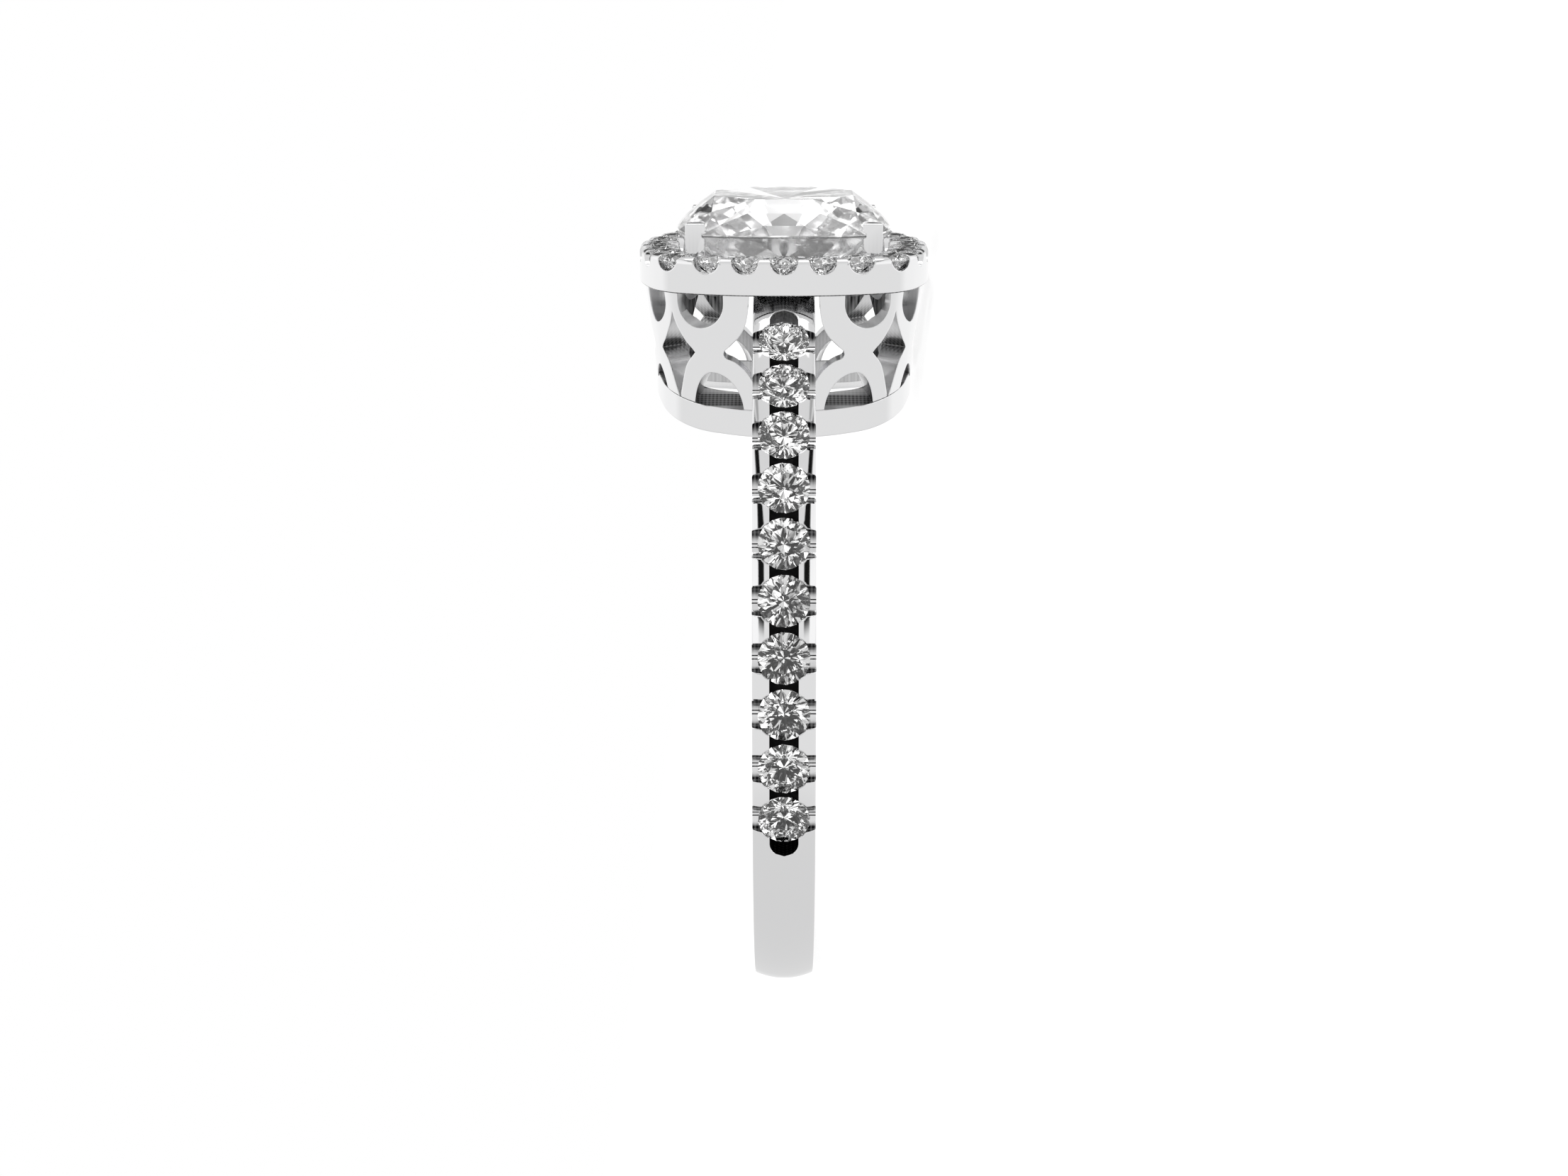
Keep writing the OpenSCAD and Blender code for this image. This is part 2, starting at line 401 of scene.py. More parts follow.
@dataclass(frozen=True)
class Finish:
    """Base of the procedural finishes."""

    name: str

    def start(self) -> tuple[Material, Wiring, bpy.types.Node]:
        """Makes an empty material.

        Returns:
            The material, its wiring and its shader.
        """
        material = bpy.data.materials.new(self.name)
        material.use_nodes = True
        return material, Wiring(material.node_tree), material.node_tree.nodes["Principled BSDF"]


@dataclass(frozen=True)
class PolishedGold(Finish):
    """Polished white gold with painted shade: darker, finely ribbed and more matt where the piece
    is painted so.
    """

    tone: Colour = (0.85, 0.85, 0.855)
    # Colour that the painted shade darkens the metal towards.
    deep: Colour = (0.006, 0.006, 0.007)
    shine: float = 0.03
    shine_spread: float = 0.4
    dull: float = 0.4
    edge: float = 0.055
    edge_samples: int = 6
    mark_scale: float = 9000.0
    mark_detail: float = 3.0
    rib_pitch: float = 0.11
    rib_share: float = 0.22

    def build(self) -> Material:
        """Builds the material.

        Returns:
            The material.
        """
        material, wiring, shader = self.start()
        marks = wiring.noise(self.mark_scale, self.mark_detail)
        spread = (self.shine * (1 - self.shine_spread), self.shine * (1 + self.shine_spread))
        dark, matt = wiring.painted()
        soft = wiring.add("Bevel", {"Radius": self.edge * MM}, samples=self.edge_samples)
        share = (1 - self.rib_share, 1 + self.rib_share)
        # Painted shade from the attribute, finely ribbed, darkens the base colour from tone towards
        # deep.
        depth = wiring.worked("MULTIPLY", dark, wiring.faded(self.ribs(wiring), (-2, 2), share))
        wiring.put(
            shader,
            {
                "Metallic": 1,
                "Roughness": wiring.faded(
                    matt, (0, 1), (wiring.faded(marks, (0, 1), spread), self.dull)
                ),
                "Normal": soft.outputs["Normal"],
                "Base Color": wiring.mixed(depth, (*self.tone, 1), (*self.deep, 1)),
            },
        )
        return material

    def ribs(self, wiring: Wiring) -> Socket:
        """Adds upright ribs to the painted shade, seen on faces turned any way round the head.

        Args:
            wiring: Wiring of the material.

        Returns:
            The ribs' height, from -2 to 2.
        """
        at = wiring.add("TexCoord").outputs["Object"]
        waves = []
        for way in (Way.ASIDE, Way.ALONG):
            pitch = Bench.rest.laid(way.value) * (FULL_TURN / (self.rib_pitch * MM))
            along = wiring.add("VectorMath", {0: at, 1: pitch}, operation="DOT_PRODUCT")
            waves.append(wiring.worked("SINE", along.outputs["Value"]))
        return wiring.worked("ADD", *waves)


@dataclass(frozen=True)
class DarkChannel(Finish):
    """Dark sheet of painted shade on the floor of the channels between the stones, where only shade
    falls.
    """

    tone: Colour = (0.012, 0.012, 0.013)
    light_grain: float = 2.2
    grain_scale: float = 14000.0
    roughness: float = 0.7
    metallic: float = 0.3

    def build(self) -> Material:
        """Builds the material.

        Returns:
            The material.
        """
        material, wiring, shader = self.start()
        lighter = tuple(self.light_grain * part for part in self.tone)
        grain = wiring.ramp(wiring.noise(self.grain_scale), ((0, self.tone), (1, lighter)))
        wiring.put(
            shader,
            {"Base Color": grain, "Roughness": self.roughness, "Metallic": self.metallic},
        )
        return material


@dataclass(frozen=True)
class ClearStone(Finish):
    """Colourless faceted stone with very faint growth lines inside its polish, darkened towards
    deep where painted shade is painted on it.
    """

    tone: float = 1.0
    # Colour of the painted shade on the lower half of the centre stone's girdle.
    deep: float = 0.003
    ior: float = 2.42
    haze: float = 0.006
    sheen: float = 1.0
    growth_scale: float = 2500.0

    def build(self) -> Material:
        """Builds the material.

        Returns:
            The material.
        """
        material, wiring, shader = self.start()
        clear, deep = (*[self.tone] * 3, 1), (*[self.deep] * 3, 1)
        wiring.put(
            shader,
            {
                "IOR": self.ior,
                "Transmission Weight": 1,
                "Specular Tint": (*[self.sheen] * 3, 1),
                "Base Color": wiring.mixed(wiring.painted()[0], clear, deep),
                "Roughness": wiring.faded(wiring.noise(self.growth_scale), (0, 1), (0, self.haze)),
            },
        )
        return material


@dataclass(frozen=True)
class PaleFloor(Finish):
    """Plain pale floor with a barely visible mottling, which metal and stones don't mirror."""

    tone: float = 0.3
    mottle: float = 0.01
    mottle_scale: float = 60.0
    glow: float = 0.8
    roughness: float = 0.8
    gloss: float = 0.1

    def build(self) -> Material:
        """Builds the material.

        Returns:
            The material.
        """
        material, wiring, shader = self.start()
        shades = (self.tone - self.mottle, self.tone + self.mottle)
        stops = [(at, (shade,) * 3) for at, shade in enumerate(shades)]
        wiring.put(
            shader,
            {
                "Base Color": wiring.ramp(wiring.noise(self.mottle_scale), stops),
                "Emission Color": (1, 1, 1, 1),
                "Emission Strength": self.glow,
                "Roughness": self.roughness,
                "Specular IOR Level": self.gloss,
            },
        )
        rays = wiring.add("LightPath").outputs
        inner = wiring.worked("MAXIMUM", rays["Is Glossy Ray"], rays["Is Transmission Ray"])
        clear = wiring.add("BsdfTransparent").outputs["BSDF"]
        either = wiring.add("MixShader", {"Fac": inner, 1: shader.outputs["BSDF"], 2: clear})
        output = material.node_tree.nodes["Material Output"]
        wiring.put(output, {"Surface": either.outputs["Shader"]})
        return material


@dataclass(frozen=True)
class Spot:
    """Face corner of a piece, in upright millimetres."""

    point: Vector
    normal: Vector
    middle: Vector


class Bench:
    """Mesh work that every sub-assembly uses, and the turn that lays a drum along +X."""

    rest = Rest()
    sideways = Matrix.Rotation(QUARTER_TURN, 4, "Y")

    @staticmethod
    def spun(profile: list[Pair], steps: int, closed: bool = True) -> Mesh:
        """Spins a profile a full turn about Z.

        Args:
            profile: Distances from the axis and heights, in order.
            steps: Number of steps of the turn.
            closed: Whether the profile is a closed loop; otherwise its ends lie on the axis.

        Returns:
            The closed mesh.
        """
        bm = bmesh.new()
        verts = [bm.verts.new((radius, 0, height)) for radius, height in profile]
        nexts = verts[1:] + verts[: 1 if closed else 0]
        edges = [bm.edges.new(pair) for pair in zip(verts, nexts)]
        bmesh.ops.spin(
            bm,
            geom=verts + edges,
            cent=(0, 0, 0),
            axis=(0, 0, 1),
            angle=FULL_TURN,
            steps=steps,
            use_merge=True,
        )
        bmesh.ops.remove_doubles(bm, verts=bm.verts, dist=WELD_DISTANCE)
        bmesh.ops.recalc_face_normals(bm, faces=bm.faces)
        return bm

    @staticmethod
    def raised(bm: Mesh, height: float) -> list[bmesh.types.BMVert]:
        """Extrudes all faces of a flat mesh upwards.

        Args:
            bm: The mesh, which becomes closed.
            height: How far its upper side goes up.

        Returns:
            The vertices of the upper side.
        """
        made = bmesh.ops.extrude_face_region(bm, geom=bm.faces[:])["geom"]
        tops = [part for part in made if isinstance(part, bmesh.types.BMVert)]
        bmesh.ops.translate(bm, verts=tops, vec=(0, 0, height))
        return tops

    @staticmethod
    def slab(outline: list[Pair], low: float, high: float) -> Mesh:
        """Extrudes a flat outline upwards.

        Args:
            outline: Corners of the outline in order.
            low: Height of the lower face.
            high: Height of the upper face.

        Returns:
            The closed mesh.
        """
        bm = bmesh.new()
        bm.faces.new([bm.verts.new((x, y, low)) for x, y in outline])
        Bench.raised(bm, high - low)
        bmesh.ops.recalc_face_normals(bm, faces=bm.faces)
        return bm

    @staticmethod
    def drum(radius: float, reach: float, steps: int) -> Mesh:
        """Makes a round drum about Z, with its middle at height 0.

        Args:
            radius: Radius of the drum.
            reach: Half of its height.
            steps: Number of sides.

        Returns:
            The closed mesh.
        """
        bm = bmesh.new()
        bmesh.ops.create_cone(
            bm, cap_ends=True, segments=steps, radius1=radius, radius2=radius, depth=2 * reach
        )
        return bm

    @staticmethod
    def gather(shapes: Iterable[tuple[Mesh, Matrix]]) -> Mesh:
        """Joins shapes, each moved by its own matrix, and frees them.

        Args:
            shapes: The shapes and where each goes.

        Returns:
            One mesh with all of them.
        """
        out = bmesh.new()
        for shape, matrix in shapes:
            shape.transform(matrix)
            held = bpy.data.meshes.new("held")
            shape.to_mesh(held)
            out.from_mesh(held)
            bpy.data.meshes.remove(held)
            shape.free()
        return out

    @staticmethod
    def raw(name: str, bm: Mesh) -> Thing:
        """Puts a mesh into the scene as it is, in upright millimetres, and frees it.

        Args:
            name: Name of the object.
            bm: Its mesh.

        Returns:
            The object.
        """
        mesh = bpy.data.meshes.new(name)
        bm.to_mesh(mesh)
        bm.free()
        thing = bpy.data.objects.new(name, mesh)
        bpy.context.scene.collection.objects.link(thing)
        return thing

    @staticmethod
    def cut(thing: Thing, cutters: list[Mesh], way: str = "DIFFERENCE") -> None:
        """Cuts shapes out of a thing, or keeps only what lies in them.

        Args:
            thing: The object whose mesh is cut.
            cutters: Closed meshes, each with parts that don't meet. They are freed.
            way: Blender's name of the boolean operation.
        """
        tools = [Bench.raw("cutter", bm) for bm in cutters]
        for tool in tools:
            step = thing.modifiers.new("cut", "BOOLEAN")
            step.operation, step.solver, step.object = way, "EXACT", tool
        graph = bpy.context.evaluated_depsgraph_get()
        cut_mesh = bpy.data.meshes.new_from_object(thing.evaluated_get(graph))
        thing.modifiers.clear()
        bm = bmesh.new()
        bm.from_mesh(cut_mesh)
        bmesh.ops.remove_doubles(bm, verts=bm.verts, dist=MERGE_DISTANCE)
        bmesh.ops.dissolve_degenerate(bm, edges=bm.edges, dist=MERGE_DISTANCE)
        bm.to_mesh(cut_mesh)
        bm.free()
        spare = [thing.data, *(tool.data for tool in tools)]
        thing.data = cut_mesh
        for tool in tools:
            bpy.data.objects.remove(tool)
        for mesh in spare:
            bpy.data.meshes.remove(mesh)

    @staticmethod
    def shade(thing: Thing, rule: Callable[[Spot], Pair]) -> None:
        """Paints the painted shade (how dark) and how matt each face corner is, for the finish to
        read.

        Args:
            thing: The object in upright millimetres.
            rule: Gives how dark the painted shade is and how matt a spot is, each from 0 to 1.
        """
        mesh = thing.data
        layer = mesh.color_attributes.new(SHADE_ATTRIBUTE, "FLOAT_COLOR", "CORNER")
        for face in mesh.polygons:
            for loop in face.loop_indices:
                point = mesh.vertices[mesh.loops[loop].vertex_index].co
                layer.data[loop].color = (*rule(Spot(point, face.normal, face.center)), 0, 1)

    @staticmethod
    def hand_in(
        thing: Thing,
        material: Material,
        slot: Slot,
        smooth_degrees: float | None = None,
    ) -> Thing:
        """Lays a finished thing down, dresses it and lets it ride on the ring.

        Args:
            thing: The object in upright millimetres.
            material: Its finish.
            slot: The record's material slot. Not used.
            smooth_degrees: Edges sharper than this stay sharp; None keeps every face flat.

        Returns:
            The same object.
        """
        mesh = thing.data
        mesh.transform(Bench.rest.matrix)
        if smooth_degrees is not None:
            mesh.shade_smooth()
            mesh.set_sharp_from_angle(angle=math.radians(smooth_degrees))
        mesh.materials.clear()
        mesh.materials.append(material)
        mesh.update()
        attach(thing, "root")
        LOG.info("%s: %d faces", thing.name, len(mesh.polygons))
        return thing


def facet(bm: Mesh) -> Mesh:
    """Turns a cloud of facet corners into a stone.

    Args:
        bm: Mesh whose verts are the corners. Its edges and faces are dropped.

    Returns:
        The same mesh as a closed convex stone with flat facets.
    """
    bmesh.ops.delete(bm, geom=list(bm.faces), context="FACES_ONLY")
    bmesh.ops.delete(bm, geom=list(bm.edges), context="EDGES_FACES")
    hull = bmesh.ops.convex_hull(bm, input=bm.verts)
    spare = [part for part in hull["geom_interior"] + hull["geom_unused"] if part.is_valid]
    loose = [part for part in spare if isinstance(part, bmesh.types.BMVert)]
    bmesh.ops.delete(bm, geom=loose, context="VERTS")
    bmesh.ops.dissolve_limit(bm, angle_limit=FLAT_ANGLE, verts=bm.verts, edges=bm.edges)
    bmesh.ops.recalc_face_normals(bm, faces=bm.faces)
    return bm


@dataclass(frozen=True)
class Brilliant:
    """Round brilliant stone, built from its facet corners."""

    diameter: float
    table: float = 0.57
    crown: float = 0.155
    girdle: float = 0.02
    pavilion: float = 0.43
    seat_depth: float = 0.46
    seat_top: float = 0.175
    seat_room: float = 0.005
    seat_rim: float = 0.02
    seat_lip: float = 0.57
    seat_steps: int = 40

    def mesh(self) -> Mesh:
        """Builds the stone with its girdle at height 0 and its table towards +Z.

        Returns:
            The faceted closed mesh.
        """
        radius, rim = self.diameter / 2, self.girdle / 2
        rings = [
            (8, 0.0, self.table, self.crown + rim),
            (8, 0.5, (1 + self.table) / 2 + 0.015, self.crown * 0.56),
            (16, 0.25, 1.0, rim),
            (16, 0.25, 1.0, -rim),
            (8, 0.5, 0.33, -self.pavilion * 0.7 - rim),
            (4, 0.0, 0.02, -self.pavilion - rim),
        ]
        bm = bmesh.new()
        for count, phase, reach, height in rings:
            ring = bmesh.ops.create_circle(bm, segments=count, radius=radius * reach)
            turn = Matrix.Rotation(phase * FULL_TURN / count, 3, "Z")
            bmesh.ops.rotate(bm, verts=ring["verts"], matrix=turn)
            bmesh.ops.translate(bm, verts=ring["verts"], vec=(0, 0, height * self.diameter))
        return facet(bm)

    def seat(self) -> Mesh:
        """Room that the stone takes up in the metal.

        Returns:
            The closed mesh, placed as the stone.
        """
        radius, rim = self.diameter / 2 + self.seat_room, self.seat_rim
        foot, top = -self.diameter * self.seat_depth, self.diameter * self.seat_top
        lip = radius * self.seat_lip
        profile = [(0, foot), (radius, -rim), (radius, rim), (lip, top), (0, top)]
        return Bench.spun(profile, self.seat_steps, closed=False)


@dataclass
class CentreStone:
    """Cushion-cut centre stone."""

    half: float = 3.15
    square: float = 3.7
    girdle_z: float = 13.45
    girdle_t: float = 0.04
    girdle_swell: float = 0.006
    crown: float = 0.92
    pavilion: float = 2.75
    table: float = 2.05

    @staticmethod
    def ring(bm: Mesh, count: int, phase: float, half: float, height: float, square: float) -> None:
        """Adds one level of facet corners on a cushion outline.

        Args:
            bm: Mesh that takes the corners.
            count: Number of corners.
            phase: Turn of the level in parts of one step.
            half: Half of its width across the flats.
            height: Its height above the hole's centre.
            square: Its squareness, 2 being a circle.
        """
        made = bmesh.ops.create_circle(bm, segments=count, radius=1)["verts"]
        for index, vert in enumerate(made):
            angle = (index + phase) * FULL_TURN / count
            across, along = math.cos(angle), math.sin(angle)
            reach = (abs(across) ** square + abs(along) ** square) ** (-1 / square)
            vert.co = Vector((half * reach * across, half * reach * along, height))

    def build(self) -> Mesh:
        """Builds the stone from its levels of facet corners.

        Returns:
            The faceted closed mesh, in its place on the ring.
        """
        half, square = self.half, self.square
        top, low = self.girdle_z + self.girdle_t, self.girdle_z - self.girdle_t
        levels = [
            (8, 0.5, self.table, top + self.crown, 5.0),
            (16, 0.0, half * 0.815, top + self.crown * 0.62, 3.4),
            (16, 0.5, half * 0.93, top + self.crown * 0.28, 3.6),
            (32, 0.5, half, top, square),
            (32, 0.5, half + self.girdle_swell, self.girdle_z, square),
            (32, 0.5, half, low, square),
            (16, 0.0, half * 0.80, low - self.pavilion * 0.24, 3.2),
            (8, 0.5, half * 0.47, low - self.pavilion * 0.6, 2.4),
            (4, 0.0, 0.06, low - self.pavilion, 2.0),
        ]
        bm = bmesh.new()
        for level in levels:
            self.ring(bm, *level)
        return facet(bm)

    def shadow(self, spot: Spot) -> Pair:
        """How dark and matt a spot is: painted shade, a thin dark line on the lower half of the
        girdle only.

        Args:
            spot: The spot.

        Returns:
            How dark and how matt it is.
        """
        below = self.girdle_z - spot.middle.z
        value = 1.0 if 0.2 * self.girdle_t < below < self.girdle_t else 0.0
        return value, value

    def dress(self, finish: Material) -> None:
        """Makes the piece that stands for the centre stone's solid.

        Args:
            finish: The stone's material.
        """
        thing = Bench.raw("centre_diamond", self.build())
        Bench.shade(thing, self.shadow)
        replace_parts(Bench.hand_in(thing, finish, Slot.STONE), "centre_stone")


@dataclass
class Shank:
    """Band with its two shoulders, their stones and the dark sheets of painted shade in their
    channels.
    """

    sizes: RingSizes = field(default_factory=RingSizes)
    stone: Brilliant = field(
        default_factory=lambda: Brilliant(
            1.436, seat_room=0.012, seat_rim=0.03, seat_lip=0.56, seat_steps=48
        )
    )
    steps: int = 420
    inner_round: float = 0.09
    outer_round: float = 0.07
    stones: int = 10
    first_stone: float = math.radians(50.52)
    stone_pitch: float = math.radians(6.756)
    girdle_sink: float = 0.115
    channel_w: float = 0.8
    channel_depth: float = 0.86
    channel_past: Pair = (math.radians(3.3), math.radians(3.1))
    channel_open: float = 1.0
    channel_steps: int = 90
    channel_end_steps: int = 8
    floor_t: float = 0.04
    floor_share: float = 0.98
    scallop_r: float = 0.42
    scallop_steps: int = 80
    cut_reach: float = 2.0
    arch_past: float = 0.4
    arch_pitch: float = 0.1
    arch_steps: int = 61
    inner_half: float = 3.05
    inner_gap: float = 0.2
    halo_half: float = 5.0
    halo_gap: float = 0.15
    head_top: float = 15.0
    # Painted shade: dark channels, a fade past the stones, a painted shadow on the panel under the
    # halo and painted dark reflection lines at the scallop bottoms.
    channel_shade: Pair = (0.12, 1.0)
    channel_shade_slack: float = 0.01
    past_stones_dark: float = 0.5
    past_stones_fade: Pair = (11.15, 11.45)
    panel_low: float = 10.6
    panel_in: float = 0.5
    panel_dark: float = 0.75
    panel_fade: Pair = (11.3, 11.75)
    panel_matt: float = 0.3
    post_line: Pair = (0.034, 0.064)
    smooth_degrees: float = 30

    @property
    def last_stone(self) -> float:
        """Angle of the lowest stone about the shoulder's centre."""
        return self.first_stone - (self.stones - 1) * self.stone_pitch

    def section(self) -> list[Pair]:
        """Cross-section of the band with rounded edges and a crowned outer face.

        Returns:
            Distances from the hole's centre and places along the finger, in order.
        """
        s, inner, outer = self.sizes, self.inner_round, self.outer_round
        face_r = (s.half_w**2 + s.crown_h**2) / (2 * s.crown_h)
        quarter = [QUARTER_TURN * i / 4 for i in range(5)]
        low_inner = [
            (s.hole_r + inner * (1 - math.cos(a)), -s.half_w + inner * (1 - math.sin(a)))
            for a in quarter
        ]
        reach = s.half_w - outer * 0.7
        spread = [-reach + 2 * reach * i / 16 for i in range(17)]
        crown = [(s.base_r - face_r + math.sqrt(face_r**2 - z * z), z) for z in spread]
        edge_r = crown[0][0]
        low_outer = [
            (edge_r - outer * inward, -s.half_w + outer * upward)
            for inward, upward in ((1, 0), (0.4, 0.12), (0.12, 0.4))
        ]
        lower = low_inner + low_outer
        return lower + crown + [(r, -z) for r, z in reversed(lower)]

    def on_shoulder(self, angle: float, side: int) -> Matrix:
        """Place on a shoulder's outer curve, with +Z out of the metal and +X along the finger.

        Args:
            angle: Angle about the shoulder's centre, from the level line up.
            side: -1 for the shoulder towards the camera, 1 for the far one.

        Returns:
            The place as a matrix.
        """
        centre = self.sizes.shoulder_centre
        out = Vector((0, side * math.cos(angle), math.sin(angle)))
        at = Vector((0, -side * centre.x, centre.y)) + out * self.sizes.shoulder_r
        across = Vector((1, 0, 0))
        frame = Matrix((across, out.cross(across), out)).transposed().to_4x4()
        return Matrix.Translation(at) @ frame

    def stone_places(self, side: int) -> list[Matrix]:
        """Places of the stones in one shoulder.

        Args:
            side: Which shoulder, -1 or 1.

        Returns:
            The places, from the halo down.
        """
        sink = Matrix.Translation((0, 0, -self.girdle_sink))
        angles = (self.first_stone - i * self.stone_pitch for i in range(self.stones))
        return [self.on_shoulder(angle, side) @ sink for angle in angles]

    def channel(self, side: int, low: float, high: float, width: float, top: float) -> Mesh:
        """Bar that follows the shoulder curve, with round ends.

        Args:
            side: Which shoulder, -1 or 1.
            low: Angle of its lower end.
            high: Angle of its upper end.
            width: Its width along the finger.
            top: Height of its upper side above the outer curve.

        Returns:
            The closed mesh.
        """
        half, count = width / 2, self.channel_steps
        bends = [QUARTER_TURN * i / self.channel_end_steps for i in range(self.channel_end_steps)]
        flats = [1 - math.sin(bend) for bend in bends]
        ends = [
            (half / self.sizes.shoulder_r * flat, half * math.sqrt(max(4e-4, 1 - flat**2)))
            for flat in flats
        ]
        rows = [(low - past, wide) for past, wide in ends]
        rows += [(low + (high - low) * i / count, half) for i in range(count + 1)]
        rows += [(high + past, wide) for past, wide in reversed(ends)]
        last = len(rows) - 1
        bm = bmesh.new()
        bmesh.ops.create_grid(bm, x_segments=last, y_segments=1, size=1)
        tops = set(Bench.raised(bm, 1))
        for vert in bm.verts:
            angle, wide = rows[round((vert.co.x + 1) / 2 * last)]
            height = top if vert in tops else -self.channel_depth
            corner = Vector((math.copysign(wide, vert.co.y), 0, height))
            vert.co = self.on_shoulder(angle, side) @ corner
        bm.normal_update()
        bmesh.ops.recalc_face_normals(bm, faces=bm.faces)
        return bm

    def arch(self, side: int) -> Mesh:
        """Window between a shoulder and the bridge along the hole.

        Args:
            side: Which shoulder, -1 or 1.

        Returns:
            The closed mesh.
        """
        s = self.sizes
        centre = s.shoulder_centre
        inner, outer = s.hole_r + s.bridge_t, s.shoulder_r - s.shoulder_t
        outline = []
        for i in range(self.arch_steps):
            y = self.inner_half - self.arch_past + i * self.arch_pitch
            upper = centre.y + math.sqrt(max(0.0, outer**2 - (y + centre.x) ** 2))
            if upper**2 + y * y < inner**2:
                break
            outline.append((y, upper))
        down = [(y, math.sqrt(inner**2 - y * y)) for y, _ in reversed(outline)]
        bm = Bench.slab(outline + down, -self.cut_reach, self.cut_reach)
        bm.transform(Matrix(((0, 0, 1), (side, 0, 0), (0, 1, 0))).to_4x4())
        bmesh.ops.recalc_face_normals(bm, faces=bm.faces)
        return bm

    def blank(self) -> Mesh:
        """Builds the whole band without its openings.

        Returns:
            The closed mesh.
        """
        s = self.sizes
        bm = Bench.spun(self.section(), self.steps)
        for vert in bm.verts:
            radius = math.hypot(vert.co.x, vert.co.y)
            if radius > (s.hole_r + s.base_r) / 2:
                grown = radius + s.outer(math.atan2(vert.co.y, vert.co.x)) - s.base_r
                vert.co.xy *= grown / radius
        bm.transform(Matrix(((0, 0, 1, 0), (0, 1, 0, 0), (1, 0, 0, 0), (0, 0, 0, 1))))
        bmesh.ops.recalc_face_normals(bm, faces=bm.faces)
        return bm

    def build(self) -> Thing:
        """Builds the band, with its seats, scallops, channels and arch windows cut.

        Returns:
            The object in upright millimetres.
        """
        band = Bench.raw("shank", self.blank())
        across = Matrix.Translation((0, 0, self.girdle_sink)) @ Bench.sideways
        low = self.last_stone - self.channel_past[0]
        high = self.first_stone + self.channel_past[1]
        reach = self.cut_reach
        cutters = []
        for side in (-1, 1):
            places = self.stone_places(side)
            seats = [(self.stone.seat(), place) for place in places]
            scallops = [
                (Bench.drum(self.scallop_r, reach, self.scallop_steps), place @ across)
                for place in places
            ]
            cutters += [
                Bench.gather(seats),
                Bench.gather(scallops),
                self.channel(side, low, high, self.channel_w, self.channel_open),
                self.arch(side),
            ]
        between_shoulders = (self.inner_half + self.inner_gap, 0)
        under_halo = (self.halo_half, self.sizes.rim_low + self.halo_gap)
        for inner, foot in (between_shoulders, under_halo):
            square = [(-reach, -inner), (reach, -inner), (reach, inner), (-reach, inner)]
            cutters.append(Bench.slab(square, foot, self.head_top))
        Bench.cut(band, cutters)
        return band

    def shadow(self, spot: Spot) -> Pair:
        """How deep in painted shadow a spot of the band lies, with a pair of painted dark
        reflection lines at each scallop's bottom.

        Args:
            spot: The spot.

        Returns:
            How dark and how matt it is, each 0 for open metal and 1 for the deepest.
        """
        point, middle = spot.point, spot.middle
        side = 1 if point.y > 0 else -1
        centre = self.sizes.shoulder_centre
        out = middle - Vector((0, -side * centre.x, centre.y))
        angle = math.atan2(out.z, side * out.y)
        depth = self.sizes.shoulder_r - math.hypot(out.y, out.z)
        lowest = self.first_stone - self.stones * self.stone_pitch
        wide = abs(middle.x) < self.channel_w / 2 + self.channel_shade_slack
        if wide and self.channel_shade[0] < depth < self.channel_shade[1] and angle > lowest:
            past_stones = self.past_stones_dark * ease(point.z, *self.past_stones_fade)
            return (1.0 if angle < self.first_stone else past_stones), 1.0
        # Painted shadow on the panel under the halo.
        panel, level = 0.0, abs(spot.normal.x)
        headmost = point.z > self.panel_low and abs(point.y) > self.inner_half - self.panel_in
        if headmost and level < 0.6:
            panel = self.panel_dark * ease(point.z, *self.panel_fade)
        index = round((self.first_stone - angle) / self.stone_pitch)
        if not 0 <= index < self.stones:
            return panel, self.panel_matt * panel
        to_stone = self.on_shoulder(self.first_stone - index * self.stone_pitch, side).inverted()
        at, core = to_stone @ point, to_stone @ middle
        off_scallop = abs(math.hypot(core.y, core.z) - self.scallop_r) > 0.02
        if off_scallop or core.z > 0 or level > 0.5:
            return panel, self.panel_matt * panel
        # Pair of painted dark reflection lines along the scallop's bottom.
        if self.post_line[0] < abs(core.y) < self.post_line[1]:
            return 1.0, 1.0
        # Painted shade that darkens both ends of each scallop.
        headward = math.atan2(-side * at.y, -at.z)
        if headward > 0:
            start, end = 0.1, 0.85
        else:
            start = 0.85 if index < 5 else 0.5
            end = start + 0.4
        value = max(panel, 0.05 + 0.85 * ease(abs(headward), start, end))
        return value, value

    def dress(self, metal: Material, dark: Material, clear: Material) -> None:
        """Makes the band, its channel floors of painted shade and its stones.

        Args:
            metal: Finish of the band.
            dark: Finish of the channel floors, a painted shade.
            clear: Finish of the stones.
        """
        band = self.build()
        Bench.shade(band, self.shadow)
        piece = Bench.hand_in(band, metal, Slot.METAL, self.smooth_degrees)
        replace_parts(piece, "band_and_setting")
        width, top = self.channel_w * self.floor_share, self.floor_t - self.channel_depth
        ends = (self.last_stone, self.first_stone)
        floors = [(self.channel(side, *ends, width, top), Matrix.Identity(4)) for side in (-1, 1)]
        Bench.hand_in(Bench.raw("channel_floors", Bench.gather(floors)), dark, Slot.METAL)
        places = self.stone_places(-1) + self.stone_places(1)
        stones = Bench.gather([(self.stone.mesh(), place) for place in places])
        Bench.hand_in(Bench.raw("band_stones", stones), clear, Slot.STONE)


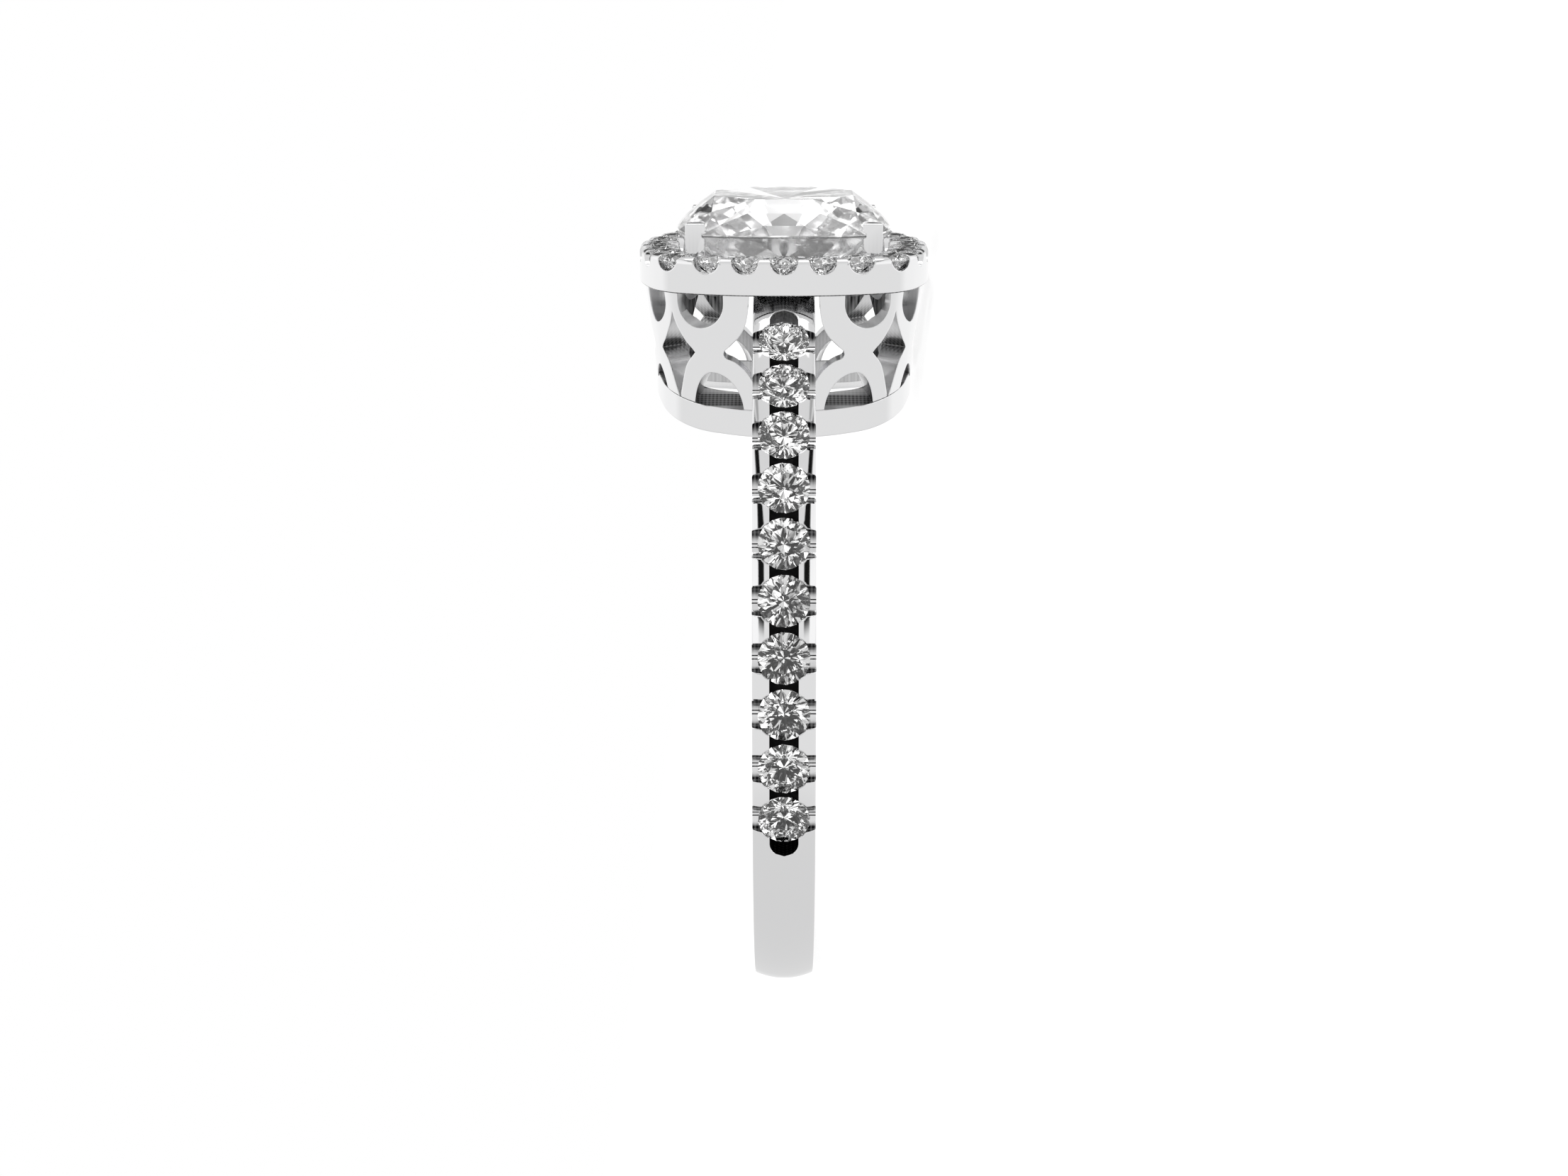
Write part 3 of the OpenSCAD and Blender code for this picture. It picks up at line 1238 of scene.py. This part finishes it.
@dataclass
class Halo:
    """Cushion-shaped rim with its ring of small stones."""

    sizes: RingSizes = field(default_factory=RingSizes)
    outline: Cushion = field(default_factory=lambda: Cushion(4.32, 7.34, 1.91))
    stone: Brilliant = field(default_factory=lambda: Brilliant(0.95))
    width: float = 1.14
    steps: int = 480
    stone_angles: tuple[float, ...] = (-17.6, -8.75, 0.0, 8.75, 17.6)
    corner_reach: float = 4.36
    girdle_z: float = 12.8
    notch_r: float = 0.4
    notch_z: float = 12.91
    notch_reach: float = 0.9
    notch_steps: int = 48
    channel_w: float = 0.46
    channel_depth: float = 0.6
    channel_top: float = 14.0
    floor_t: float = 0.02
    floor_gap: float = 0.005
    smooth_degrees: float = 30

    def section(self) -> list[Pair]:
        """Cross-section of the rim.

        Returns:
            Depths inside the outline and heights, in order.
        """
        low, high = self.sizes.rim_low, self.sizes.rim_high
        corners = [
            ((0.05, low + 0.05), -90, 0.05),
            ((0.17, high - 0.17), 0, 0.17),
            ((self.width - 0.08, high - 0.08), 90, 0.08),
            ((self.width - 0.04, low + 0.04), 180, 0.04),
        ]
        points = []
        for (depth, height), start, radius in corners:
            for i in range(7):
                a = math.radians(start + 15 * i)
                points.append((depth - radius * math.cos(a), height + radius * math.sin(a)))
        return points[:7] + [(0.0, low + 0.07), (0.0, high - 0.19)] + points[7:]

    def stone_places(self, height: float, corners: Iterable[bool] = (False, True)) -> list[Matrix]:
        """Places of the halo stones, with +X pointing out through the rim.

        Args:
            height: Height above the hole's centre.
            corners: Which places are wanted, those of the sides, of the corners or of both.

        Returns:
            The places.
        """
        centre = Matrix.Translation((-self.outline.shift, 0, 0))
        spot = Matrix.Translation((self.outline.side_r - self.width / 2, 0, height))
        on_side = [
            centre @ Matrix.Rotation(math.radians(angle), 4, "Z") @ spot
            for angle in self.stone_angles
        ]
        out = Matrix.Translation((self.corner_reach, 0, height))
        on_corner = [Matrix.Rotation(QUARTER_TURN / 2, 4, "Z") @ out]
        local = [
            place for wanted, group in ((False, on_side), (True, on_corner))
            if wanted in corners for place in group
        ]
        return [Matrix.Rotation(q.angle, 4, "Z") @ place for q in Quarter for place in local]

    def band(self, width: float, low: float, high: float) -> Mesh:
        """Ring along the line of the stones.

        Args:
            width: Its width.
            low: Height of its lower side.
            high: Height of its upper side.

        Returns:
            The closed mesh.
        """
        outer, inner = (self.width + width) / 2, (self.width - width) / 2
        corners = [(outer, low), (inner, low), (inner, high), (outer, high)]
        return self.outline.swept(corners, self.steps)

    def build(self) -> Thing:
        """Builds the rim with its seats, notches and channel cut.

        Returns:
            The object in upright millimetres.
        """
        rim = Bench.raw("halo_rim", self.outline.swept(self.section(), self.steps))
        cutters = []
        for corners in ((False,), (True,)):
            seats = [(self.stone.seat(), at) for at in self.stone_places(self.girdle_z, corners)]
            notches = [
                (Bench.drum(self.notch_r, self.notch_reach, self.notch_steps), at @ Bench.sideways)
                for at in self.stone_places(self.notch_z, corners)
            ]
            cutters += [Bench.gather(seats), Bench.gather(notches)]
        floor = self.sizes.rim_high - self.channel_depth
        Bench.cut(rim, [*cutters, self.band(self.channel_w, floor, self.channel_top)])
        return rim

    def shadow(self, spot: Spot) -> Pair:
        """How deep in shadow a spot of the rim lies: its lower edge and underside do.

        Args:
            spot: The spot.

        Returns:
            How dark and how matt it is, each 0 for open metal and 1 for the deepest.
        """
        low = self.sizes.rim_low
        if spot.middle.z < low + 0.001:
            return 0.3, 0.3
        if spot.middle.z < low + 0.04:
            return 0.9 * ease(low + 0.05 - spot.point.z, 0.0, 0.03), 0.5
        return 0.0, 0.0

    def dress(self, metal: Material, dark: Material, clear: Material) -> None:
        """Makes the rim, its channel floor of painted shade and its stones.

        Args:
            metal: Finish of the rim.
            dark: Finish of the channel floor, a painted shade.
            clear: Finish of the stones.
        """
        rim = self.build()
        Bench.shade(rim, self.shadow)
        Bench.hand_in(rim, metal, Slot.METAL, self.smooth_degrees)
        floor = self.sizes.rim_high - self.channel_depth
        width = self.channel_w - 2 * self.floor_gap
        strip = self.band(width, floor - self.floor_t, floor + self.floor_t)
        Bench.hand_in(Bench.raw("halo_channel_floor", strip), dark, Slot.METAL)
        places = self.stone_places(self.girdle_z)
        stones = Bench.gather([(self.stone.mesh(), place) for place in places])
        Bench.hand_in(Bench.raw("halo_stones", stones), clear, Slot.STONE)


@dataclass
class Gallery:
    """Openwork wall between the halo and the finger hole, with its base rail."""

    sizes: RingSizes = field(default_factory=RingSizes)
    outline: Cushion = field(default_factory=lambda: Cushion(4.17, 8.47, 2.32))
    slope: float = 0.112
    wall: float = 0.84
    wall_low: float = 8.0
    wall_sink: float = 0.06
    pierce: Pair = (-1.3, 1.4)
    rail_w: float = 0.92
    rail_out: float = 0.045
    rail_at: float = 8.6
    rail_span: Pair = (6.5, 10.2)
    steps: int = 480
    bore_steps: int = 320
    bore_reach: float = 7.0
    wall_bore_steps: int = 256
    wall_bore_reach: float = 6.0
    wall_bore_sink: float = 0.1
    figure_turn: float = math.radians(15.4)
    lower_top: float = 9.72
    upper_foot: float = 10.85
    waist: float = 10.2
    # Painted shade on the rail top, the inner faces and the window sides.
    rail_shade_top: float = 9.4
    inside_fade: Pair = (9.6, 10.8)
    rail_fades: tuple[Pair, Pair] = ((1.0, 2.0), (2.1, 2.18))
    smooth_degrees: float = 36

    def depth(self, height: float) -> float:
        """How far the wall's outer face is drawn in at a height."""
        return max(0.0, (self.sizes.rim_low - height) * self.slope)

    def pushed(self, outline: list[Pair], turn: float) -> Mesh:
        """Prism that pierces the wall along its normal.

        Args:
            outline: Distances along the wall and heights.
            turn: Direction of the normal on the side that faces +X; 45 degrees is a corner.

        Returns:
            The closed mesh.
        """
        bm = Bench.slab(outline, *self.pierce)
        upright = Matrix(((0, 0, 1, 0), (1, 0, 0, 0), (0, 1, 0, 0), (0, 0, 0, 1)))
        point = self.outline.inset(0.2).side_point(turn)
        place = Matrix.Translation((point.x, point.y, 0)) @ Matrix.Rotation(turn, 4, "Z")
        bm.transform(place @ upright)
        bmesh.ops.recalc_face_normals(bm, faces=bm.faces)
        return bm

    @staticmethod
    def flowing(keys: list[Pair], steps: int = 7) -> list[Pair]:
        """Smooth open line through key points.

        Args:
            keys: The points that the line passes.
            steps: Points added on each stretch.

        Returns:
            The points of the line.
        """
        ends = [Vector(key) for key in (keys[0], *keys, keys[-1])]
        line = []
        for p0, p1, p2, p3 in zip(ends, ends[1:], ends[2:], ends[3:]):
            for k in range(steps):
                t = k / steps
                bend = 2 * p0 - 5 * p1 + 4 * p2 - p3
                twist = 3 * p1 - p0 - 3 * p2 + p3
                point = 0.5 * (2 * p1 + (p2 - p0) * t + bend * t**2 + twist * t**3)
                line.append(tuple(point))
        return [*line, keys[-1]]

    def pointed(self, keys: list[Pair], tip: int) -> list[Pair]:
        """Smooth open line through key points, with one sharp point.

        Args:
            keys: The points that the line passes.
            tip: Which of them is sharp.

        Returns:
            The points of the line.
        """
        return self.flowing(keys[: tip + 1]) + self.flowing(keys[tip:])[1:]

    def middle_gap(self) -> list[Pair]:
        """Outline of the gap at the middle of a side.

        Returns:
            Distances along the wall and heights, in order.
        """
        keys = [
            (0.99, 12.3), (1.0, 11.85), (1.03, 11.4), (1.12, 11.0), (1.3, 10.68), (1.55, 10.42),
            (1.7, 10.28), (1.735, 10.17), (1.66, 10.06), (1.42, 9.96), (1.15, 9.75), (0.92, 9.46),
            (0.72, 9.1), (0.58, 8.7), (0.5, 8.2), (0.48, 7.6),
        ]
        right = self.pointed(keys, 7)
        return right + [(-x, z) for x, z in reversed(right)]

    def corner_gap(self) -> list[Pair]:
        """Outline of the diamond-shaped gap at a corner.

        Returns:
            Distances along the wall and heights, in order.
        """
        keys = [
            (0.0, 11.35), (0.1, 11.05), (0.24, 10.8), (0.44, 10.5), (0.6, 10.33), (0.7, 10.2),
            (0.57, 10.05), (0.39, 9.83), (0.25, 9.5), (0.12, 9.12), (0.0, 8.77),
        ]
        right = self.pointed(keys, 5)
        return right + [(-x, z) for x, z in reversed(right[1:-1])]

    @staticmethod
    def upper_window(steps: int = 28) -> list[Pair]:
        """Outline of the hanging window of one figure.

        Args:
            steps: Steps of its round.

        Returns:
            Distances along the wall and heights, in order.
        """
        bends = [math.pi * i / steps for i in range(steps + 1)]
        bowl = [(0.19 - 0.71 * math.cos(a), 11.68 - 0.75 * math.sin(a)) for a in bends]
        return [(-0.52, 12.3), *bowl, (0.9, 12.3)]

    @staticmethod
    def lower_window(steps: int = 18) -> list[Pair]:
        """Outline of the standing window of one figure, leaning towards the corner.

        Args:
            steps: Steps of each of its two bends.

        Returns:
            Distances along the wall and heights, in order.
        """
        apex, foot, height, near, far = -0.09, 8.45, 1.18, 0.56, 0.92
        bends = [QUARTER_TURN * i / steps for i in range(steps + 1)]
        long_side = [(apex - far * math.cos(a), foot + height * math.sin(a)) for a in bends[:-1]]
        short_side = [(apex + near * math.sin(a), foot + height * math.cos(a)) for a in bends]
        return [(apex - far, 7.4), *long_side, *short_side, (apex + near, 7.4)]

    def build_wall(self) -> Thing:
        """Builds the pierced wall.

        Returns:
            The object in upright millimetres.
        """
        s = self.sizes
        low, high = self.wall_low, s.rim_low + self.wall_sink
        section = [
            (self.depth(low), low),
            (self.depth(high), high),
            (self.depth(high) + self.wall, high),
            (self.depth(low) + self.wall, low),
        ]
        wall = Bench.raw("gallery_wall", self.outline.swept(section, self.steps))
        turns = [Matrix.Rotation(quarter.angle, 4, "Z") for quarter in Quarter]
        plain, mirrored = Matrix.Identity(4), Matrix.Scale(-1, 4, (0, 1, 0))
        windows = [
            (self.middle_gap(), 0.0, plain),
            (self.corner_gap(), QUARTER_TURN / 2, plain),
            (self.upper_window(), self.figure_turn, plain),
            (self.upper_window(), self.figure_turn, mirrored),
            (self.lower_window(), self.figure_turn, plain),
            (self.lower_window(), self.figure_turn, mirrored),
        ]
        cutters = [
            Bench.gather([(self.pushed(outline, angle), turn @ flip) for turn in turns])
            for outline, angle, flip in windows
        ]
        for cutter in cutters:
            bmesh.ops.recalc_face_normals(cutter, faces=cutter.faces)
        radius = s.hole_r + s.rail_h - self.wall_bore_sink
        bore = Bench.drum(radius, self.wall_bore_reach, self.wall_bore_steps)
        bore.transform(Bench.sideways)
        Bench.cut(wall, [*cutters, bore])
        return wall

    def build_rail(self) -> Thing:
        """Builds the base rail, a saddle between two rounds about the finger hole.

        Returns:
            The object in upright millimetres.
        """
        s, (low, high) = self.sizes, self.rail_span
        front = self.depth(self.rail_at) - self.rail_out
        back = front + self.rail_w
        section = [(front, low), (front, high), (back, high), (back, low)]
        rail = Bench.raw("gallery_rail", self.outline.swept(section, self.steps))
        for radius, way in ((s.hole_r + s.rail_h, "INTERSECT"), (s.hole_r, "DIFFERENCE")):
            tool = Bench.drum(radius, self.bore_reach, self.bore_steps)
            tool.transform(Bench.sideways)
            Bench.cut(rail, [tool], way)
        return rail

    def shadow(self, spot: Spot) -> Pair:
        """How deep in shadow a spot of the gallery lies.

        Args:
            spot: The spot.

        Returns:
            How dark and how matt it is, each 0 for open metal and 1 for the deepest.
        """
        height = spot.point.z
        quarter = round(math.atan2(spot.point.y, spot.point.x) / QUARTER_TURN)
        turn = Matrix.Rotation(-quarter * QUARTER_TURN, 3, "Z")
        local, facing = turn @ spot.point, turn @ spot.normal
        outward = (local.xy + Vector((self.outline.shift * 0.6, 0))).normalized()
        lean, reach = facing.xy.dot(outward), abs(local.y)
        if lean > 0.6:
            return 0.0, 0.0
        if lean < -0.6:
            inside = 0.35 + 0.5 * ease(height, *self.inside_fade)
            return inside, inside
        if height < self.rail_shade_top and facing.z > 0.7:
            near, far = (ease(reach, *fade) for fade in self.rail_fades)
            return 0.05 + 0.15 * near + 0.6 * far, 0.8
        above, below = height > self.upper_foot, height < self.lower_top
        corner_half = 0.4 if above else 1.1 if height > self.lower_top else 0.65
        if abs(abs(local.x) - reach) < corner_half:
            if height > self.waist:
                return 0.12 + 0.7 * ease(10.8 - height, 0.0, 0.55), 0.7
            return 0.06 + 0.65 * ease(height, 9.8, 10.15), 0.5
        if above and reach > 1.6:
            return 0.12, 0.9
        if below and reach > 1.16:
            return 0.08 + 0.82 * ease(abs(facing.y), 0.5, 0.95), 0.7
        return 0.2, 0.2

    def dress(self, metal: Material) -> None:
        """Makes the wall and the rail.

        Args:
            metal: Their finish.
        """
        for thing in (self.build_wall(), self.build_rail()):
            Bench.shade(thing, self.shadow)
            Bench.hand_in(thing, metal, Slot.METAL, self.smooth_degrees)


@dataclass
class Prongs:
    """Four square prongs with rounded edges that clasp the centre stone's corners."""

    width: float = 0.57
    out: float = 2.84
    low: float = 11.95
    high: float = 13.8
    rounding: float = 0.05
    rounding_steps: int = 4
    seat_growth: float = 1.006
    smooth_degrees: float = 20

    def one(self) -> Mesh:
        """Builds one prong in its corner.

        Returns:
            The closed mesh.
        """
        bm = bmesh.new()
        bmesh.ops.create_cube(bm, size=1)
        bmesh.ops.scale(bm, verts=bm.verts, vec=(self.width, self.width, self.high - self.low))
        middle = self.out - self.width / 2
        bmesh.ops.translate(bm, verts=bm.verts, vec=(middle, middle, (self.high + self.low) / 2))
        for is_chosen in (
            lambda one, two: min(one.co.z, two.co.z) > self.high - 0.01,
            lambda one, two: abs(one.co.z - two.co.z) > 1,
        ):
            bmesh.ops.bevel(
                bm,
                geom=[edge for edge in bm.edges if is_chosen(*edge.verts)],
                offset=self.rounding,
                segments=self.rounding_steps,
                profile=0.5,
                affect="EDGES",
                material=-1,
            )
        return bm

    def shadow(self, spot: Spot) -> Pair:
        """How dark and matt a spot is: painted shade darkens the prongs a little towards their
        feet.
        """
        return 0.3 * ease(self.high - spot.point.z, 0.3, self.high - self.low), 0.0

    def dress(self, metal: Material, stone: CentreStone) -> None:
        """Makes the four prongs and cuts the stone's seat into them.

        Args:
            metal: Their finish.
            stone: The stone that they hold.
        """
        shapes = [(self.one(), Matrix.Rotation(q.angle, 4, "Z")) for q in Quarter]
        thing = Bench.raw("prongs", Bench.gather(shapes))
        seat, middle = stone.build(), Vector((0, 0, stone.girdle_z))
        grown = Matrix.Scale(self.seat_growth, 4)
        seat.transform(Matrix.Translation(middle) @ grown @ Matrix.Translation(-middle))
        Bench.cut(thing, [seat])
        Bench.shade(thing, self.shadow)
        Bench.hand_in(thing, metal, Slot.METAL, self.smooth_degrees)


@dataclass
class Studio:
    """Pale floor, soft light and the camera at the picture's angle.

    Each card, glow and box is a list of masks: the axis that the looked-at direction leans
    along, the two bounds of that lean, and the shades at those bounds.
    """

    lens: float = 51.277
    sensor: float = 36.0
    clip: Pair = (0.002, 50.0)
    camera_at: Colour = (0.0, -67.296, 20.655)
    pitch: float = math.radians(15.335)
    floor_half: float = 3.0
    bounces: int = 28
    diffuse_bounces: int = 4
    wash: float = 1.2
    card_shade: float = 0.01
    sky: tuple[Pair, ...] = (
        (-1.0, 0.745), (-0.65, 0.76), (-0.5, 0.85), (0.0, 0.86), (0.3, 0.86), (0.8, 0.76),
        (1.0, 0.8),
    )
    head_shadow: Pair = (0.93, 0.955)
    head_shade: float = 0.02
    dapple_scale: float = 2.3
    dapples: tuple[Pair, ...] = (
        (0.44, 0.0), (0.46, 0.02), (0.465, 0.3), (0.49, 0.6), (0.5, 0.76), (0.575, 0.8),
        (0.585, 1.5),
    )
    back_glow: tuple[Mask, ...] = (
        (Way.ALONG, (-0.1, 0.3), (1, 1.18)),
        (Way.UP, (-0.5, -0.4), (1, 1.18)),
        (Way.UP, (-0.05, 0.02), (1.18, 1)),
    )
    side_glow: tuple[Mask, ...] = (
        (Way.ASIDE, (0.6, 0.63), (1, 1.25)),
        (Way.UP, (-0.05, 0.05), (1, 1.25)),
    )
    soft_box: tuple[Mask, ...] = (
        (Way.UP, (0.86, 0.92), (1, 4)),
        (Way.ALONG, (0.02, 0.06), (0, 1)),
    )
    front_card: tuple[Mask, ...] = (
        (Way.UP, (0.1, 0.19), (0, 1)),
        (Way.ASIDE, (0.485, 0.505), (0, 1)),
        (Way.ASIDE, (0.615, 0.63), (1, 0)),
        (Way.ALONG, (-0.3, 0), (1, 0)),
    )
    back_card: tuple[Mask, ...] = (
        (Way.UP, (0.098, 0.108), (0, 1)),
        (Way.UP, (0.42, 0.5), (1, 0)),
        (Way.ASIDE, (0.4, 0.5), (0.9, 0)),
        (Way.ALONG, (0, 0.3), (0, 1)),
    )
    line_card: tuple[Mask, ...] = (
        (Way.UP, (0.74, 0.8), (0, 0.45)),
        (Way.ALONG, (0.1, 0.3), (1, 0)),
        (Way.ASIDE, (0.54, 0.55), (0, 1)),
        (Way.ASIDE, (0.57, 0.58), (1, 0)),
    )

    def camera(self) -> None:
        """Places the camera."""
        data = bpy.data.cameras.new("camera")
        data.lens, data.sensor_width, data.sensor_fit = self.lens, self.sensor, "HORIZONTAL"
        data.clip_start, data.clip_end = self.clip
        thing = bpy.data.objects.new("camera", data)
        bpy.context.scene.collection.objects.link(thing)
        rest = Bench.rest
        upright = Matrix.Rotation(QUARTER_TURN - self.pitch, 4, "X")
        at = rest.matrix @ Vector(self.camera_at)
        thing.matrix_world = Matrix.Translation(at) @ rest.turn @ upright
        bpy.context.scene.camera = thing

    def floor(self) -> None:
        """Makes the floor that the ring lies on."""
        bm = bmesh.new()
        bmesh.ops.create_grid(bm, x_segments=1, y_segments=1, size=self.floor_half)
        thing = Bench.raw("floor", bm)
        thing.data.materials.append(PaleFloor("pale_floor").build())

    def world(self) -> Wiring:
        """Makes the empty world and sets how far light is followed.

        Returns:
            The world's wiring.
        """
        scene = bpy.context.scene
        scene.view_settings.view_transform = "Standard"
        for kind in ("max_bounces", "glossy_bounces", "transmission_bounces"):
            setattr(scene.cycles, kind, self.bounces)
        scene.cycles.diffuse_bounces = self.diffuse_bounces
        scene.world = bpy.data.worlds.new("studio")
        scene.world.use_nodes = True
        return Wiring(scene.world.node_tree)

    def lit(self, wiring: Wiring, leans: dict[Way, Socket]) -> Socket:
        """Brightness of the room: two glows and a soft box, dimmed by three dark cards.

        Args:
            wiring: The world's wiring.
            leans: How far the looked-at direction leans along each axis.

        Returns:
            The brightness.
        """

        def joined(operation: str, masks: tuple[Mask, ...]) -> Socket:
            """Joins masks by a sum."""
            parts = [wiring.faded(leans[way], over, to, "SMOOTHSTEP") for way, over, to in masks]
            return wiring.worked(operation, *parts)

        slant = wiring.faded(leans[Way.ASIDE], (0.5, 0.6), (0.6, 0.83))
        below = wiring.worked("SUBTRACT", slant, leans[Way.UP])
        slanted = wiring.faded(below, (0, 0.04), (0, 1), "SMOOTHSTEP")
        front = wiring.worked("MULTIPLY", joined("MULTIPLY", self.front_card), slanted)
        back, line = (joined("MULTIPLY", card) for card in (self.back_card, self.line_card))
        cards = wiring.worked("MAXIMUM", front, back, line)
        glows = [joined("MINIMUM", glow) for glow in (self.back_glow, self.side_glow)]
        bright = wiring.worked("MAXIMUM", *glows, joined("MULTIPLY", self.soft_box))
        return wiring.worked("MULTIPLY", bright, wiring.faded(cards, (0, 1), (1, self.card_shade)))

    def stone_light(self, wiring: Wiring) -> Socket:
        """Patchy light that only the stones' inner rays see, so that their facets differ.

        Args:
            wiring: The world's wiring.

        Returns:
            The light's colour, dark where the viewer's head would be.
        """
        cloud = wiring.noise(self.dapple_scale, 0.0, "Generated")
        patches = wiring.ramp(cloud, [(at, (shade,) * 3) for at, shade in self.dapples])
        toward = wiring.lean((0, -math.cos(self.pitch), math.sin(self.pitch)))
        head = wiring.faded(toward, self.head_shadow, (1, self.head_shade), "SMOOTHSTEP")
        return wiring.mixed(1, patches, head, blend_type="MULTIPLY")

    def light(self) -> None:
        """Builds the soft studio light, which the camera itself sees as plain white."""
        wiring = self.world()
        leans = {way: wiring.lean(way.value) for way in Way}
        leans[Way.ASIDE] = wiring.worked("ABSOLUTE", leans[Way.ASIDE])
        stops = [((lean + 1) / 2, (shade,) * 3) for lean, shade in self.sky]
        sky = wiring.ramp(wiring.faded(leans[Way.UP], (-1, 1), (0, 1)), stops)
        rays = wiring.add("LightPath").outputs
        seen = wiring.mixed(rays["Is Transmission Ray"], sky, self.stone_light(wiring))
        wash = wiring.faded(rays["Is Diffuse Ray"], (0, 1), (1, self.wash))
        strength = wiring.worked("MULTIPLY", self.lit(wiring, leans), wash)
        for_camera = rays["Is Camera Ray"]
        background = {
            "Color": wiring.mixed(for_camera, seen, (1, 1, 1, 1)),
            "Strength": wiring.mixed(for_camera, strength, 1.0, data_type="FLOAT"),
        }
        wiring.put(wiring.tree.nodes["Background"], background)

    def build(self) -> None:
        """Sets up the whole studio."""
        self.camera()
        self.floor()
        self.light()


def main() -> None:
    """Builds the ring's looks in order."""
    logging.basicConfig(level=logging.INFO, format="%(name)s: %(message)s")
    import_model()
    metal = PolishedGold("polished_white_gold").build()
    # Dark sheets of painted shade for the channel floors.
    dark = DarkChannel("painted_channel_shade").build()
    clear = ClearStone("clear_stone", haze=0.1).build()
    small = ClearStone("small_clear_stone", tone=0.93, sheen=0.5).build()
    centre = CentreStone()
    Shank().dress(metal, dark, small)
    Gallery().dress(metal)
    Halo().dress(metal, dark, small)
    Prongs().dress(metal, centre)
    centre.dress(clear)
    Studio().build()
    bpy.context.view_layer.update()


if __name__ == "__main__":
    main()
